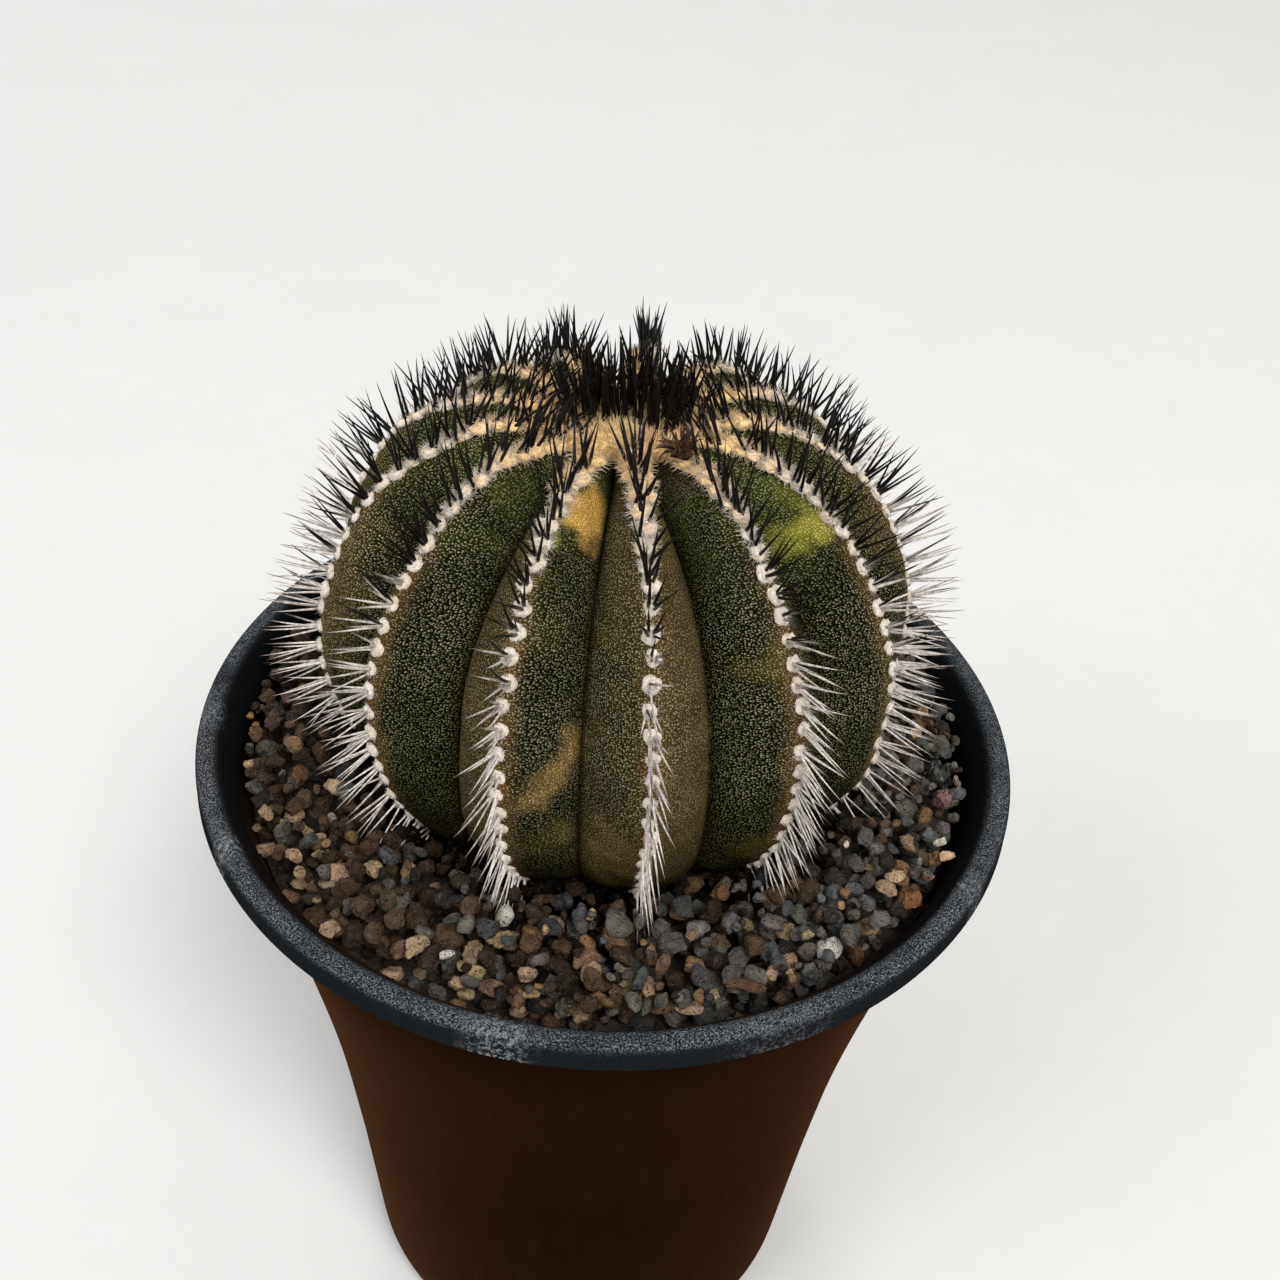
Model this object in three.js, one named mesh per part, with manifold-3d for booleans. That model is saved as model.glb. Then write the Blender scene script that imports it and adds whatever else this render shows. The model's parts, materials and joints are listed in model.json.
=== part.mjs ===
// A round ribbed cactus growing in grit in a tapered nursery pot with a rolled rim.
// Millimetres, +Z up. The origin is the centre of the pot's foot on the surface it stands on,
// and the plant is seen from the -Y side.
import * as THREE from "three";
import { mergeVertices } from "three/addons/utils/BufferGeometryUtils.js";
import Module from "manifold-3d";

// ---------- driving dimensions ----------

const CLEARANCE = 0.35; // between two pieces that rest on or in each other
const SEED = 20;

// Pot. Depths are measured down from the top of the rim.
const POT_HEIGHT = 154;
const POT_SEGMENTS = 52;
const RIM_RADIUS = 75; // the widest point of the pot
const RIM_WIDTH = 4.2; // of the rolled edge, seen from above
const RIM_DROP = 5.2; // from the top of the roll to its lower edge
const RIM_SHOULDER = 1.6; // how far below the top the roll is widest
const RIM_ROLL_ANGLES = [0, 40, 80, 120, 155]; // of the points over the roll, from outside to inside
const RIM_EDGE = [0.5, 0.9]; // of the roll's lower outer edge: inwards, upwards
const WALL_THICKNESS = 1.3;
const WALL_SAMPLES = 6;
// [depth, radius] of the outside of the wall, from under the rim to the foot
const WALL_STATIONS = [
  [5.2, 69.6],
  [12, 68.0],
  [26, 65.2],
  [48, 61.0],
  [74, 57.0],
  [104, 54.0],
  [147, 50.8],
];
const FOOT_ROUND = 6.5; // radius of the round between wall and foot
const FOOT_ROUND_ANGLES = [30, 60];
const FOOT_RING_WIDTH = 7; // the flat ring that the pot stands on
const FOOT_RECESS = 1.5; // the floor of the pot stands this far off the surface
const FLOOR_THICKNESS = 2;
const DRAIN_RADIUS = 4.5;
const DRAIN_CIRCLE = 26;
const DRAIN_COUNT = 6; // on the circle, and one more in the middle
const DRAIN_SIDES = 16;

// Grit
const SOIL_DEPTH = 10; // below the top of the rim
const GRIT_COLUMNS = 84; // two to a stone
const STONE_RINGS = 5;
const STONE_FIELD_INNER = 33; // radius where the stones start, under the edge of the plant
const STONE_RISE = [0.3, 1.5]; // how far a stone stands over the level of the grit
const STONE_GAP_DEPTH = 1.1; // of the hollows between stones
const GRIT_WALL_GAP = 0.45; // between the surface of the grit and the pot
const GRIT_SIDE_GAP = 1.05; // between the grit and the pot below the surface
const GRIT_FLOOR_RADIUS = 42;

// Cactus. Its own frame has +Z along the stem and its origin at the centre of the body.
const RIB_COUNT = 13;
const FIRST_RIB_AZIMUTH = 7.9; // degrees from the -Y side towards +X
// how many degrees each rib has grown aside from its even place
const RIB_DRIFTS = [-0.5, -0.6, -1.4, -1.0, 0, 0, 0, 0, 0, -0.1, 0.9, 1.3, 1.4];
const BODY_OFFSET = [0.9, 2.2]; // of the stem from the middle of the pot, at the grit
const BODY_LEAN = [-0.052, -0.02]; // radians about X and Y
const BODY_CENTRE_OVER_GRIT = 30;
// [polar angle in degrees from the crown, distance from the body's centre]
const CREST_STATIONS = [
  [0, 37.4],
  [14, 38.8],
  [24, 43.1],
  [35, 46.8],
  [47, 49.4],
  [60, 51.0],
  [73, 51.8],
  [86, 52.2],
  [99, 52.0],
  [112, 51.2],
  [124, 49.4],
  [136, 45.6],
  [150, 37.5],
  [168, 40],
  [180, 60],
];
const FURROW_STATIONS = [
  [0, 37.4],
  [14, 36.8],
  [24, 36.2],
  [35, 37.2],
  [47, 39.6],
  [60, 41.6],
  [73, 43.0],
  [86, 44.2],
  [99, 45.4],
  [112, 46.4],
  [124, 46.4],
  [136, 44.0],
  [150, 37.2],
  [168, 40],
  [180, 60],
];
const FLANK_STEPS = [0, 0.34, 0.7, 1]; // from furrow to crest
const CREST_SHARPNESS = 0.45; // share of a flank's slope that is left at the crest

// Rows of wool tufts (areoles) along the crests, each with a comb of spines
const TUFTS_PER_ROW = 18;
const ROW_START = 27; // polar angle of the uppermost tuft
const ROW_END = 119; // polar angle of the lowest tuft
const TUFT_WIDTH = 3.4;
const TUFT_HEIGHT = 1.9;
const WAIST_WIDTH = 2.0; // of the wool between two tufts
const WAIST_HEIGHT = 1.3;
const SPINE_LENGTH = 10.5;
const SPINE_RADIUS = 0.42;
const SPINE_SIDES = 3;
const SPINE_ROOT_DEPTH = 1.25; // how far a spine's root is sunk in its wool
const SPINE_ROOT_SHIFT = [0.35, 0.5]; // of the two roots in a tuft, across and down the crest
const SPINE_SPLAY = [8, 14]; // degrees to either side of the crest
const SPINE_FAN = 13; // degrees up or down the crest
const SPINE_UPTURN = 0.35; // how strongly spines near the crown turn upright
const SPINE_TIP_GAP = 1.35; // of the lowest tips over the highest stones

// Crown
const CROWN_WOOL_RADII = [9.9, 16.4];
const CROWN_WOOL_HEIGHT = 3.4;
// the wool's section: [share of the way from its inner to its outer edge, share of its height]
const CROWN_WOOL_SECTION = [
  [0, 0],
  [0.08, 0.65],
  [0.5, 1],
  [1, 0.45],
  [1, 0],
  [0.5, 0],
];
const CROWN_WOOL_DIP = 0.72; // height of the wool between two ribs, as a share
const CROWN_WOOL_INDENT = 0.15; // share of its width that the wool is drawn in by a dip
const CROWN_TUFT_CENTRE = [1.2, 1.8]; // the tuft has grown aside from the stem
const CROWN_CORE_RADIUS = 7.4;
const CROWN_CORE_HEIGHT = 2.6;
// the core's section: [share of its radius, share of its height]
const CROWN_CORE_SECTION = [
  [1, 0.12],
  [1, 0.6],
  [0.6, 1],
  [0, 1],
];
// [count, radius] of the rings of spines
const CROWN_SPINE_RINGS = [
  [1, 0],
  [6, 2.4],
  [12, 4.4],
  [18, 6.3],
];
const CROWN_SPINE_LENGTH = [11, 13];
const CROWN_SPINE_RADIUS = 0.56;
const CROWN_SPINE_ROOT = 0.8; // how far the roots are over the bottom of the core
const CROWN_SPINE_LEAN = 20; // degrees outwards at the core's edge
const FLOWER_AZIMUTH = 52;
const FLOWER_RADIUS = 12.6;
const FLOWER_SIZE = [3.1, 2.2, 1.7]; // half lengths
const FLOWER_SINK = 0.82; // how high it lies, as a share of the wool's height
const FLOWER_SHRIVEL = 0.25; // largest share by which its surface has sunk

// Colours, with their roughness
const BLACK_WALL = { color: 0x17100c, roughness: 0.32 };
const GRIT_GREY = { color: 0x4b4540, roughness: 0.95 };
const CACTUS_GREEN = { color: 0x39471f, roughness: 0.7 };
const WOOL_WHITE = { color: 0xc9c0b6, roughness: 0.95 };
const WOOL_GOLD = { color: 0xc99b5c, roughness: 0.95 };
const SPINE_BLACK = { color: 0x16110f, roughness: 0.5 };
const DRIED_BROWN = { color: 0x4a2c1c, roughness: 0.9 };

// ---------- helpers ----------

const wasm = await Module();
wasm.setup();

const degrees = THREE.MathUtils.degToRad;
const GRIT_Z = POT_HEIGHT - SOIL_DEPTH;
const UP = new THREE.Vector3(0, 0, 1);

/** A repeatable source of numbers from 0 to 1. */
function seededRandom(seed) {
  let state = seed;
  return () => {
    state = (state * 1664525 + 1013904223) % 4294967296;
    return state / 4294967296;
  };
}

/** The outward direction at an azimuth counted from the -Y side towards +X. */
function outward(azimuth) {
  return new THREE.Vector3(Math.sin(azimuth), -Math.cos(azimuth), 0);
}

/** A closed geometry as a manifold-3d solid. */
function solidOf(geometry) {
  const bare = geometry.clone();
  bare.deleteAttribute("normal");
  bare.deleteAttribute("uv");
  const merged = mergeVertices(bare, 1e-4);
  return new wasm.Manifold(
    new wasm.Mesh({
      numProp: 3,
      vertProperties: new Float32Array(merged.attributes.position.array),
      triVerts: new Uint32Array(merged.index.array),
    }),
  );
}

/** A manifold-3d solid as a three.js geometry. */
function geometryOf(solid) {
  const mesh = solid.getMesh();
  const geometry = new THREE.BufferGeometry();
  geometry.setAttribute("position", new THREE.BufferAttribute(mesh.vertProperties, 3));
  geometry.setIndex(new THREE.BufferAttribute(mesh.triVerts, 1));
  geometry.computeVertexNormals();
  return geometry;
}

/** All solids joined into one. */
function fuse(solids) {
  return solids.reduce((joined, solid) => joined.add(solid));
}

/** A geometry from points and triangles of point numbers. */
function geometryFrom(points, triangles) {
  const geometry = new THREE.BufferGeometry().setFromPoints(points);
  geometry.setIndex(triangles);
  geometry.computeVertexNormals();
  return geometry;
}

/** A named mesh with its own material. */
function mesh(name, geometry, look) {
  const made = new THREE.Mesh(geometry, new THREE.MeshStandardMaterial({ ...look, metalness: 0 }));
  made.name = name;
  return made;
}

/**
 * Closed skin over rings of points. The rings run from the first pole to the last pole, each with
 * the same number of points, counted counter-clockwise when the first pole is seen from outside.
 */
function skinOverRings(firstPole, rings, lastPole) {
  const count = rings[0].length;
  const points = [firstPole, ...rings.flat(), lastPole];
  const last = points.length - 1;
  const at = (ring, i) => 1 + ring * count + (i % count);
  const triangles = [];
  for (let i = 0; i < count; i++) {
    triangles.push(0, at(0, i), at(0, i + 1));
    for (let ring = 0; ring < rings.length - 1; ring++) {
      const [a, b] = [at(ring, i), at(ring, i + 1)];
      const [c, d] = [at(ring + 1, i), at(ring + 1, i + 1)];
      triangles.push(a, c, d, a, d, b);
    }
    triangles.push(at(rings.length - 1, i + 1), at(rings.length - 1, i), last);
  }
  return geometryFrom(points, triangles);
}

/** The value at x on the straight lines between [x, value] stations. */
function along(stations, x) {
  const next = stations.findIndex(([at]) => at >= x);
  if (next <= 0) {
    return stations[Math.max(next, 0)][1];
  }
  const [[x0, v0], [x1, v1]] = [stations[next - 1], stations[next]];
  return THREE.MathUtils.mapLinear(x, x0, x1, v0, v1);
}

// ---------- pot ----------

/** [depth, radius] points down the outside of the wall, smoothed between its stations. */
function wallOutline(samples) {
  const stations = WALL_STATIONS.map(([depth, radius]) => new THREE.Vector2(depth, radius));
  return new THREE.SplineCurve(stations).getPoints(samples).map((p) => [p.x, p.y]);
}

const OUTER_WALL = wallOutline(WALL_SAMPLES);
const FOOT_RADIUS = OUTER_WALL.at(-1)[1] - FOOT_ROUND;
const FLOOR_TOP = FOOT_RECESS + FLOOR_THICKNESS;

/** Inner radius of the pot at a height, with the wall's full thickness taken off. */
function innerRadius(z) {
  return along(OUTER_WALL, POT_HEIGHT - z) - WALL_THICKNESS;
}

function potGeometry() {
  const profile = [];
  const put = (radius, z) => profile.push(new THREE.Vector2(radius, z));
  const rimMiddle = RIM_RADIUS - RIM_WIDTH / 2;
  // underside of the recessed floor, foot ring and the round up to the wall
  put(0, FOOT_RECESS);
  put(FOOT_RADIUS - FOOT_RING_WIDTH - FOOT_RECESS, FOOT_RECESS);
  put(FOOT_RADIUS - FOOT_RING_WIDTH, 0);
  put(FOOT_RADIUS, 0);
  for (const angle of FOOT_ROUND_ANGLES) {
    put(
      FOOT_RADIUS + FOOT_ROUND * Math.sin(degrees(angle)),
      FOOT_ROUND * (1 - Math.cos(degrees(angle))),
    );
  }
  // outside of the wall, up to the underside of the rolled rim
  [...OUTER_WALL].reverse().forEach(([depth, radius]) => put(radius, POT_HEIGHT - depth));
  // rolled rim, over its rounded top
  put(RIM_RADIUS - RIM_EDGE[0], POT_HEIGHT - RIM_DROP);
  put(RIM_RADIUS, POT_HEIGHT - RIM_DROP + RIM_EDGE[1]);
  for (const angle of RIM_ROLL_ANGLES) {
    put(
      rimMiddle + (RIM_WIDTH / 2) * Math.cos(degrees(angle)),
      POT_HEIGHT - RIM_SHOULDER * (1 - Math.sin(degrees(angle))),
    );
  }
  // inside of the wall, down to the floor
  OUTER_WALL.slice(1).forEach(([depth, radius]) => put(radius - WALL_THICKNESS, POT_HEIGHT - depth));
  put(FOOT_RADIUS - WALL_THICKNESS, FLOOR_TOP);
  put(0, FLOOR_TOP);
  const turned = new THREE.LatheGeometry(profile, POT_SEGMENTS).rotateX(Math.PI / 2);
  const drainHeight = 2 * FLOOR_TOP;
  const drain = new THREE.CylinderGeometry(DRAIN_RADIUS, DRAIN_RADIUS, drainHeight, DRAIN_SIDES);
  drain.rotateX(Math.PI / 2);
  let pot = solidOf(turned);
  pot = pot.subtract(solidOf(drain.clone().translate(0, 0, FLOOR_TOP / 2)));
  for (let i = 0; i < DRAIN_COUNT; i++) {
    const place = outward((i * 2 * Math.PI) / DRAIN_COUNT).multiplyScalar(DRAIN_CIRCLE);
    pot = pot.subtract(solidOf(drain.clone().translate(place.x, place.y, FLOOR_TOP / 2)));
  }
  return geometryOf(pot);
}

// ---------- cactus body ----------

/** The azimuth of a rib's crest. */
function ribAzimuth(rib) {
  const turns = Math.floor(rib / RIB_COUNT);
  const drift = RIB_DRIFTS[rib - turns * RIB_COUNT];
  return degrees(FIRST_RIB_AZIMUTH + drift + (rib * 360) / RIB_COUNT);
}

/** The azimuth a share of the way from a rib's crest, 0, to the furrow on its left, -1, or right, 1. */
function azimuthBeside(rib, share) {
  const neighbour = ribAzimuth(rib + (share < 0 ? -1 : 1));
  return THREE.MathUtils.lerp(ribAzimuth(rib), neighbour, Math.abs(share) / 2);
}

/** Height of the rib's flank, 0 in the furrow to 1 on the crest, a share of the way between. */
function flankHeight(share) {
  return CREST_SHARPNESS * share + (1 - CREST_SHARPNESS) * (1 - (1 - share) ** 2);
}

/** A point on the body's skin, at a polar angle from the crown and an azimuth. */
function skinPoint(polar, azimuth, distance, grown) {
  const point = outward(azimuth).multiplyScalar(distance * Math.sin(polar) + grown);
  return point.setZ(distance * Math.cos(polar) - grown);
}

/** The ribbed body down to the tip of its root, made larger all round below by a clearance. */
function bodyGeometry(grown = 0) {
  const shares = [...FLANK_STEPS, ...FLANK_STEPS.slice(1, -1).reverse()];
  const rings = CREST_STATIONS.slice(1, -1).map(([polarDegrees, crest], row) => {
    const furrow = FURROW_STATIONS[row + 1][1];
    const ring = [];
    for (let rib = 0; rib < RIB_COUNT; rib++) {
      shares.forEach((share, step) => {
        const side = step < FLANK_STEPS.length ? share - 1 : 1 - share;
        const distance = THREE.MathUtils.lerp(furrow, crest, flankHeight(share));
        ring.push(skinPoint(degrees(polarDegrees), azimuthBeside(rib, side), distance, grown));
      });
    }
    return ring;
  });
  const crown = new THREE.Vector3(0, 0, CREST_STATIONS[0][1] - grown);
  const rootTip = new THREE.Vector3(0, 0, -CREST_STATIONS.at(-1)[1] - grown);
  return skinOverRings(crown, rings, rootTip);
}

/** The plant's own frame, standing in the grit. */
function placePlant(object) {
  object.rotation.set(...BODY_LEAN, 0);
  object.position.set(0, 0, BODY_CENTRE_OVER_GRIT).applyEuler(object.rotation);
  object.position.add(new THREE.Vector3(...BODY_OFFSET, GRIT_Z));
  object.updateMatrix();
  return object;
}

const plant = placePlant(new THREE.Group());

// ---------- grit ----------

function gritGeometry() {
  const random = seededRandom(SEED);
  const rise = () => THREE.MathUtils.lerp(...STONE_RISE, random());
  const outerRadius = innerRadius(GRIT_Z) - GRIT_WALL_GAP;
  const rows = 2 * STONE_RINGS;
  const rings = [];
  for (let row = 0; row <= rows; row++) {
    const radius = THREE.MathUtils.lerp(STONE_FIELD_INNER, outerRadius, row / rows);
    const ring = [];
    for (let i = 0; i < GRIT_COLUMNS; i++) {
      const stoneTop = row % 2 === 1 && (i + (row - 1) / 2) % 2 === 0;
      const edge = row === 0 || row === rows;
      const shift = edge ? 0 : random() - 0.5;
      const turn = (i + (edge ? 0 : 0.5 * (random() - 0.5))) * ((2 * Math.PI) / GRIT_COLUMNS);
      const height = stoneTop ? rise() : -STONE_GAP_DEPTH * random();
      ring.push(outward(turn).multiplyScalar(radius + shift).setZ(GRIT_Z + height));
    }
    rings.push(ring);
  }
  const side = (radius, z) =>
    Array.from({ length: GRIT_COLUMNS }, (_, i) =>
      outward((i * 2 * Math.PI) / GRIT_COLUMNS).multiplyScalar(radius).setZ(z),
    );
  for (const [depth, radius] of OUTER_WALL.slice(2).filter((_, i) => i % 2 === 0)) {
    rings.push(side(radius - WALL_THICKNESS - GRIT_SIDE_GAP, POT_HEIGHT - depth));
  }
  const floor = FLOOR_TOP + CLEARANCE;
  rings.push(side(GRIT_FLOOR_RADIUS, floor));
  const fill = skinOverRings(
    new THREE.Vector3(0, 0, GRIT_Z - STONE_GAP_DEPTH),
    rings,
    new THREE.Vector3(0, 0, floor),
  );
  const hole = bodyGeometry(CLEARANCE).applyMatrix4(plant.matrix);
  return geometryOf(solidOf(fill).subtract(solidOf(hole)));
}

// ---------- areole rows ----------

/** The crest's point at a polar angle, on the straight lines between its stations. */
function crestPoint(polarDegrees, azimuth) {
  const next = CREST_STATIONS.findIndex(([at]) => at > polarDegrees);
  const [[polar0, distance0], [polar1, distance1]] = CREST_STATIONS.slice(next - 1, next + 1);
  const start = skinPoint(degrees(polar0), azimuth, distance0, 0);
  const end = skinPoint(degrees(polar1), azimuth, distance1, 0);
  return start.lerp(end, (polarDegrees - polar0) / (polar1 - polar0));
}

/** The frame on a crest: the point, the way down it, the way out of it and the way across it. */
function crestFrame(polarDegrees, azimuth) {
  const point = crestPoint(polarDegrees, azimuth);
  const down = crestPoint(polarDegrees + 2, azimuth).sub(crestPoint(polarDegrees - 2, azimuth));
  down.normalize();
  const across = new THREE.Vector3(Math.cos(azimuth), Math.sin(azimuth), 0);
  const out = new THREE.Vector3().crossVectors(across, down).normalize();
  return { point, down, out: out.multiplyScalar(Math.sign(out.dot(point))), across };
}

/** A needle from its sunk root to its tip. */
function needle(root, direction, length, radius) {
  const cone = new THREE.ConeGeometry(radius, length, SPINE_SIDES, 1);
  cone.translate(0, length / 2, 0);
  cone.applyQuaternion(
    new THREE.Quaternion().setFromUnitVectors(new THREE.Vector3(0, 1, 0), direction),
  );
  return solidOf(cone.translate(root.x, root.y, root.z));
}

/** The wool along one crest: a row of tufts joined by narrow waists. */
function woolRow(azimuth) {
  const steps = 2 * TUFTS_PER_ROW;
  const stretch = (ROW_END - ROW_START) / (TUFTS_PER_ROW - 1);
  const points = [];
  for (let step = 0; step <= steps; step++) {
    const polar = ROW_START + ((step - 1) / 2) * stretch;
    const { point, out, across } = crestFrame(polar, azimuth);
    const tuft = step % 2 === 1;
    const halfWidth = (tuft ? TUFT_WIDTH : WAIST_WIDTH) / 2;
    const height = tuft ? TUFT_HEIGHT : WAIST_HEIGHT;
    const seat = point.clone().addScaledVector(out, CLEARANCE);
    points.push(seat.clone().addScaledVector(across, -halfWidth));
    points.push(seat.clone().addScaledVector(across, halfWidth));
    points.push(seat.clone().addScaledVector(out, height));
  }
  const triangles = [0, 2, 1];
  for (let step = 0; step < steps; step++) {
    for (let side = 0; side < 3; side++) {
      const [a, b] = [3 * step + side, 3 * step + ((side + 1) % 3)];
      triangles.push(a, b, b + 3, a, b + 3, a + 3);
    }
  }
  const last = 3 * steps;
  triangles.push(last, last + 1, last + 2);
  return solidOf(geometryFrom(points, triangles));
}

/** A spine's direction, turned up near the crown and held clear of the grit near the base. */
function spineDirection(frame, splay, fan, root) {
  const direction = frame.out
    .clone()
    .addScaledVector(frame.across, Math.tan(degrees(splay)))
    .addScaledVector(frame.down, Math.tan(degrees(fan)))
    .addScaledVector(UP, SPINE_UPTURN * Math.max(0, frame.out.z));
  direction.normalize();
  const lowest = STONE_RISE[1] + SPINE_TIP_GAP - BODY_CENTRE_OVER_GRIT;
  const steepest = (lowest - root.z) / SPINE_LENGTH;
  if (direction.z < steepest) {
    const level = Math.hypot(direction.x, direction.y);
    const shrink = Math.sqrt(1 - steepest ** 2) / level;
    direction.set(direction.x * shrink, direction.y * shrink, steepest);
  }
  return direction;
}

function areoleRowGeometry(rib) {
  const random = seededRandom(SEED + rib);
  const azimuth = ribAzimuth(rib);
  const solids = [woolRow(azimuth)];
  for (let tuft = 0; tuft < TUFTS_PER_ROW; tuft++) {
    const polar = THREE.MathUtils.lerp(ROW_START, ROW_END, tuft / (TUFTS_PER_ROW - 1));
    const frame = crestFrame(polar, azimuth);
    for (const side of [-1, 1]) {
      const splay = side * THREE.MathUtils.lerp(...SPINE_SPLAY, random());
      const fan = (tuft % 2 === 0 ? side : -side) * SPINE_FAN * random();
      const root = frame.point
        .clone()
        .addScaledVector(frame.out, CLEARANCE + TUFT_HEIGHT - SPINE_ROOT_DEPTH)
        .addScaledVector(frame.across, side * SPINE_ROOT_SHIFT[0])
        .addScaledVector(frame.down, side * SPINE_ROOT_SHIFT[1]);
      const direction = spineDirection(frame, splay, fan, root);
      solids.push(needle(root, direction, SPINE_LENGTH, SPINE_RADIUS));
    }
  }
  return geometryOf(fuse(solids));
}

// ---------- crown ----------

/** Highest skin of the crown under a circle, so that what lies on it rests clear. */
function crownSeat(radius) {
  const polars = CREST_STATIONS.slice(0, 4).map(([polar, distance]) => [
    distance * Math.sin(degrees(polar)),
    distance * Math.cos(degrees(polar)),
  ]);
  return along(polars, radius) + CLEARANCE;
}

/** The golden felt round the crown: a lobed ring, one lobe to a rib. */
function crownWoolGeometry() {
  const [inner, outer] = CROWN_WOOL_RADII;
  const count = 2 * RIB_COUNT;
  const points = [];
  for (let i = 0; i < count; i++) {
    const dip = i % 2;
    const lobe = dip ? CROWN_WOOL_DIP : 1;
    const width = (outer - inner) * (1 - dip * CROWN_WOOL_INDENT);
    const azimuth = azimuthBeside(Math.floor(i / 2), dip);
    for (const [share, rise] of CROWN_WOOL_SECTION) {
      const seat = crownSeat(THREE.MathUtils.lerp(inner, outer, share));
      const point = outward(azimuth).multiplyScalar(inner + width * share);
      points.push(point.setZ(seat + rise * lobe * CROWN_WOOL_HEIGHT));
    }
  }
  const triangles = [];
  const size = CROWN_WOOL_SECTION.length;
  for (let i = 0; i < count; i++) {
    for (let j = 0; j < size; j++) {
      const [a, b] = [i * size + j, i * size + ((j + 1) % size)];
      const [c, d] = [((i + 1) % count) * size + j, ((i + 1) % count) * size + ((j + 1) % size)];
      triangles.push(a, d, c, a, b, d);
    }
  }
  return geometryFrom(points, triangles);
}

/** The dense upright tuft of young black spines, standing out of a small low core. */
function crownSpinesGeometry() {
  const random = seededRandom(SEED + RIB_COUNT);
  const seat = crownSeat(0);
  const section = CROWN_CORE_SECTION.map(
    ([out, up]) => new THREE.Vector2(out * CROWN_CORE_RADIUS, seat + up * CROWN_CORE_HEIGHT),
  );
  const profile = [new THREE.Vector2(0, seat), ...section];
  const core = new THREE.LatheGeometry(profile, RIB_COUNT).rotateX(Math.PI / 2);
  const solids = [solidOf(core)];
  for (const [count, radius] of CROWN_SPINE_RINGS) {
    for (let i = 0; i < count; i++) {
      const side = outward(((i + random() / 2) * 2 * Math.PI) / count);
      const lean = degrees((CROWN_SPINE_LEAN * radius) / CROWN_CORE_RADIUS);
      const root = side.clone().multiplyScalar(radius).setZ(seat + CROWN_SPINE_ROOT);
      const direction = UP.clone().addScaledVector(side, Math.tan(lean)).normalize();
      const length = THREE.MathUtils.lerp(...CROWN_SPINE_LENGTH, random());
      solids.push(needle(root, direction, length, CROWN_SPINE_RADIUS));
    }
  }
  return geometryOf(fuse(solids)).translate(...CROWN_TUFT_CENTRE, 0);
}

/** A shrivelled old flower lying on the crown's wool. */
function flowerGeometry() {
  const random = seededRandom(SEED + 2 * RIB_COUNT);
  const lump = mergeVertices(
    new THREE.IcosahedronGeometry(1, 1).deleteAttribute("normal").deleteAttribute("uv"),
  );
  const place = outward(degrees(FLOWER_AZIMUTH)).multiplyScalar(FLOWER_RADIUS);
  // it sinks into the dip between two ribs
  const wool = CROWN_WOOL_HEIGHT * FLOWER_SINK;
  const seat = crownSeat(FLOWER_RADIUS) + wool + FLOWER_SIZE[2] + CLEARANCE;
  const position = lump.attributes.position;
  for (let i = 0; i < position.count; i++) {
    const point = new THREE.Vector3().fromBufferAttribute(position, i);
    point.multiplyScalar(1 - FLOWER_SHRIVEL * random()).multiply(new THREE.Vector3(...FLOWER_SIZE));
    position.setXYZ(i, point.x, point.y, point.z);
  }
  lump.computeVertexNormals();
  return lump.rotateZ(degrees(FLOWER_AZIMUTH)).translate(place.x, place.y, seat);
}

// ---------- assembly ----------

const pottedCactus = new THREE.Group();
pottedCactus.add(mesh("pot", potGeometry(), BLACK_WALL));
pottedCactus.add(mesh("grit", gritGeometry(), GRIT_GREY));
plant.add(mesh("cactus_body", bodyGeometry(), CACTUS_GREEN));
for (let rib = 0; rib < RIB_COUNT; rib++) {
  const name = `areole_row_${String(rib + 1).padStart(2, "0")}`;
  plant.add(mesh(name, areoleRowGeometry(rib), WOOL_WHITE));
}
plant.add(mesh("crown_wool", crownWoolGeometry(), WOOL_GOLD));
plant.add(mesh("crown_spines", crownSpinesGeometry(), SPINE_BLACK));
plant.add(mesh("dried_flower", flowerGeometry(), DRIED_BROWN));
pottedCactus.add(plant);

export default pottedCactus;
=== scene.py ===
"""Looks of the potted round cactus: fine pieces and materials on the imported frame.

Lengths are millimetres, but for the studio's, and meshes are scaled to metres when they are made.
The frame is the part's own: +Z up, origin under the middle of the pot, seen from -Y.
"""

import json
import logging
import math
from collections.abc import Callable, Sequence
from dataclasses import dataclass, field
from enum import Enum
from functools import cached_property

import bmesh
import bpy
import numpy as np
from mathutils import Matrix, Vector

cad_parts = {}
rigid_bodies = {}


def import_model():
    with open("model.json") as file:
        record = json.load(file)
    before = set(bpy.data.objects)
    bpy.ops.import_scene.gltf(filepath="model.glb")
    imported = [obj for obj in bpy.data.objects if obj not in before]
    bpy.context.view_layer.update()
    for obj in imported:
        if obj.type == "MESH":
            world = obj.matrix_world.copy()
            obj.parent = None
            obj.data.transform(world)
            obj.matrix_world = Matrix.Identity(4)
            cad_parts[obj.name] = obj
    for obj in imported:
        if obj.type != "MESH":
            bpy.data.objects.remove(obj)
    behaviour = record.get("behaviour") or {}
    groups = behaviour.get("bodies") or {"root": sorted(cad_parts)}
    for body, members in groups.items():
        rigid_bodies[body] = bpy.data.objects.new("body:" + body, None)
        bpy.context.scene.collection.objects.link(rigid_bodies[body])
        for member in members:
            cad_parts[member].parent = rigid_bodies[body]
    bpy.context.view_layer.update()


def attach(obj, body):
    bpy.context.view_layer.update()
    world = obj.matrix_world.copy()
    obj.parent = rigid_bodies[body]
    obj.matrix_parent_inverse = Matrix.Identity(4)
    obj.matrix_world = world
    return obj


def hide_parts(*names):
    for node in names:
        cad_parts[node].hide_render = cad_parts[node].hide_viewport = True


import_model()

logging.basicConfig(level=logging.INFO, format="%(name)s: %(message)s")
LOG = logging.getLogger("potted_cactus")

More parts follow.
